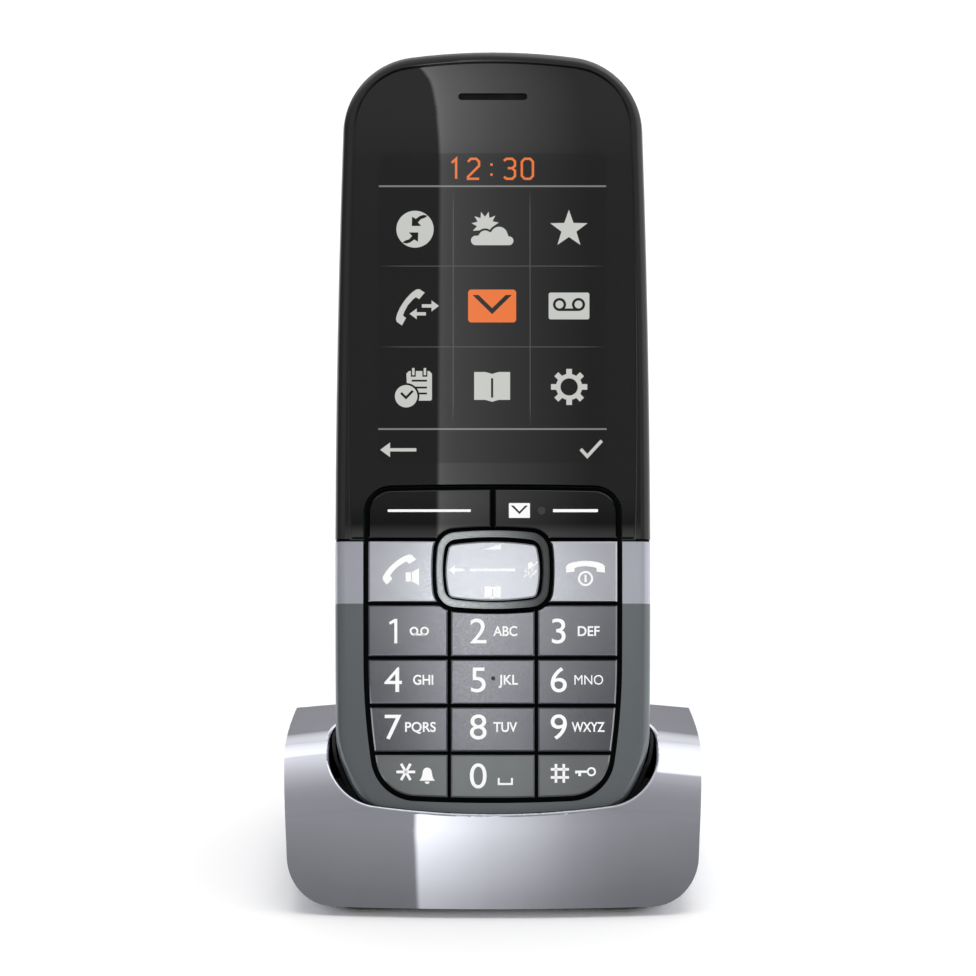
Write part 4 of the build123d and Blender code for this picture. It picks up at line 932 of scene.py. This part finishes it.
def lift_floor(material):
    """Sets how pale the floor shows to the camera and in glossy and clear surfaces, with its shadow kept."""
    path = add_node(material, "ShaderNodeLightPath")
    seen = path.outputs["Is Camera Ray"]
    for kind in ("Is Glossy Ray", "Is Transmission Ray"):
        seen = calc(material, "MAXIMUM", seen, path.outputs[kind])
    pale = add_node(material, "ShaderNodeBsdfDiffuse")
    pale.inputs["Color"].default_value = (*grey(FLOOR_SEEN), 1.0)
    both = add_node(material, "ShaderNodeMixShader")
    join(material, seen, both.inputs["Fac"])
    join(material, shader_of(material).outputs["BSDF"], both.inputs[1])
    join(material, pale.outputs["BSDF"], both.inputs[2])
    join(material, both.outputs["Shader"], material.node_tree.nodes["Material Output"].inputs["Surface"])


def light_world(world):
    """Lights the studio by its curves, and by one level for each far side."""
    world.use_nodes = True
    way = axes(world, "Generated")
    turn = calc(world, "ARCTAN2", way["Z"], way["Y"])
    degrees = calc(world, "MULTIPLY", turn, math.degrees(1.0))
    left_level = ramp_of(world, degrees, 0.0, 180.0, BEHIND + OVER_LEFT + IN_FRONT)
    right_level = ramp_of(world, degrees, 0.0, 180.0, BEHIND + OVER_RIGHT + IN_FRONT)
    rightward = mapped(world, way["X"], *SIDE_BLEND)
    far_side = mapped(world, calc(world, "ABSOLUTE", way["X"]), *FAR_SIDE)
    level = mixed(world, rightward, left_level, right_level)
    side_levels = [grey(value / BRIGHTEST) for value in (SIDE_LEVEL_LEFT, SIDE_LEVEL_RIGHT)]
    level = mixed(world, far_side, level, mixed(world, rightward, *side_levels))
    background = world.node_tree.nodes["Background"]
    background.inputs["Color"].default_value = (*WHITE, 1.0)
    join(world, calc(world, "MULTIPLY", level, BRIGHTEST), background.inputs["Strength"])


def add_sun(name, energy, degrees, way):
    """A soft distant lamp that shines along way and shows in no reflection."""
    lamp = bpy.data.lights.new(name, "SUN")
    lamp.energy = energy
    lamp.angle = math.radians(degrees)
    piece = bpy.data.objects.new(name, lamp)
    piece.rotation_mode = "QUATERNION"
    piece.rotation_quaternion = Vector(way).to_track_quat("-Z", "Y")
    piece.visible_glossy = False
    bpy.context.scene.collection.objects.link(piece)


floor_mesh = bpy.data.meshes.new("floor")
floor_corners = panel(-FLOOR_HALF, -FLOOR_HALF, FLOOR_HALF, FLOOR_HALF)
floor_mesh.from_pydata([(x, y, 0.0) for x, y in floor_corners], [], [(0, 1, 2, 3)])
floor = bpy.data.objects.new("floor", floor_mesh)
bpy.context.scene.collection.objects.link(floor)
lift_floor(surfaces["floor_white"])
floor_mesh.materials.append(surfaces["floor_white"])

bpy.context.scene.world = bpy.data.worlds.new("studio")
light_world(bpy.context.scene.world)

# Cards that the glass, the keys and the cradle's front mirror
card(
    "glass_card", -1.22, (-0.2, 0.2), (0.3, 1.4),
    plain=[
        (0.3, 0.06), (0.58, 0.075), (0.61, 0.15), (0.65, 0.25), (0.675, 0.56), (0.698, 0.65), (0.7034, 0.115),
        (0.7151, 0.21), (0.727, 0.215), (0.8388, 0.225), (0.879, 0.245), (0.8927, 0.29), (0.9096, 0.32),
        (1.4, 0.325),
    ],
    across=[
        (-0.0232, 0.0), (-0.023, 1.5), (-0.0195, 1.18), (-0.014, 0.95), (0.0018, 0.58), (0.0175, 0.33),
        (0.033, 0.1), (0.041, 0.0),
    ],
    upward=[
        (0.58, 1.0), (0.6047, 1.22), (0.6227, 1.58), (0.65, 1.9), (0.69, 1.95), (0.7034, 0.66), (0.7151, 0.82),
        (0.727, 0.7), (0.8388, 0.67), (0.879, 0.71), (0.8927, 0.94), (0.9096, 1.0),
    ],
    lean=[
        (0.88, 0.0), (0.8927, 0.0005), (0.9096, 0.0019), (0.9183, 0.0033), (0.925, 0.0055), (0.9318, 0.0115),
    ],
)
card(
    "front_card", -0.30, (-0.14, 0.14), (0.05, 0.13),
    plain=[(0.05, 0.16), (0.068, 0.2), (0.0709, 0.215), (0.0777, 0.28), (0.0841, 0.325), (0.13, 0.33)],
    across=[
        (-0.0362, 0.0), (-0.036, 0.95), (0.0, 0.46), (0.032, 0.17), (0.0413, 0.095), (0.057, 0.025), (0.07, 0.0),
    ],
    upward=[
        (0.05, 0.3), (0.068, 0.45), (0.0709, 0.54), (0.0777, 0.86), (0.0841, 1.31), (0.11, 1.5), (0.125, 0.8),
        (0.13, 0.0),
    ],
    lean=[(0.068, 0.0), (0.086, 0.0012), (0.13, 0.003)],
)
add_sun("key_light", *KEY_LIGHT)
add_sun("fill_light", *FILL_LIGHT)

camera_data = bpy.data.cameras.new("camera")
camera_data.sensor_width = CAMERA_SENSOR
camera_data.lens = CAMERA_LENS
camera_data.shift_x, camera_data.shift_y = CAMERA_SHIFT
camera_data.clip_start, camera_data.clip_end = CAMERA_CLIP
camera = bpy.data.objects.new("camera", camera_data)
outward = Vector((0.0, -math.cos(CAMERA_ELEVATION), math.sin(CAMERA_ELEVATION)))
camera.location = CAMERA_TARGET + outward * CAMERA_DISTANCE
camera.rotation_mode = "QUATERNION"
camera.rotation_quaternion = (-outward).to_track_quat("-Z", "Y")
bpy.context.scene.collection.objects.link(camera)
bpy.context.scene.camera = camera
bpy.context.scene.view_settings.view_transform = "Standard"
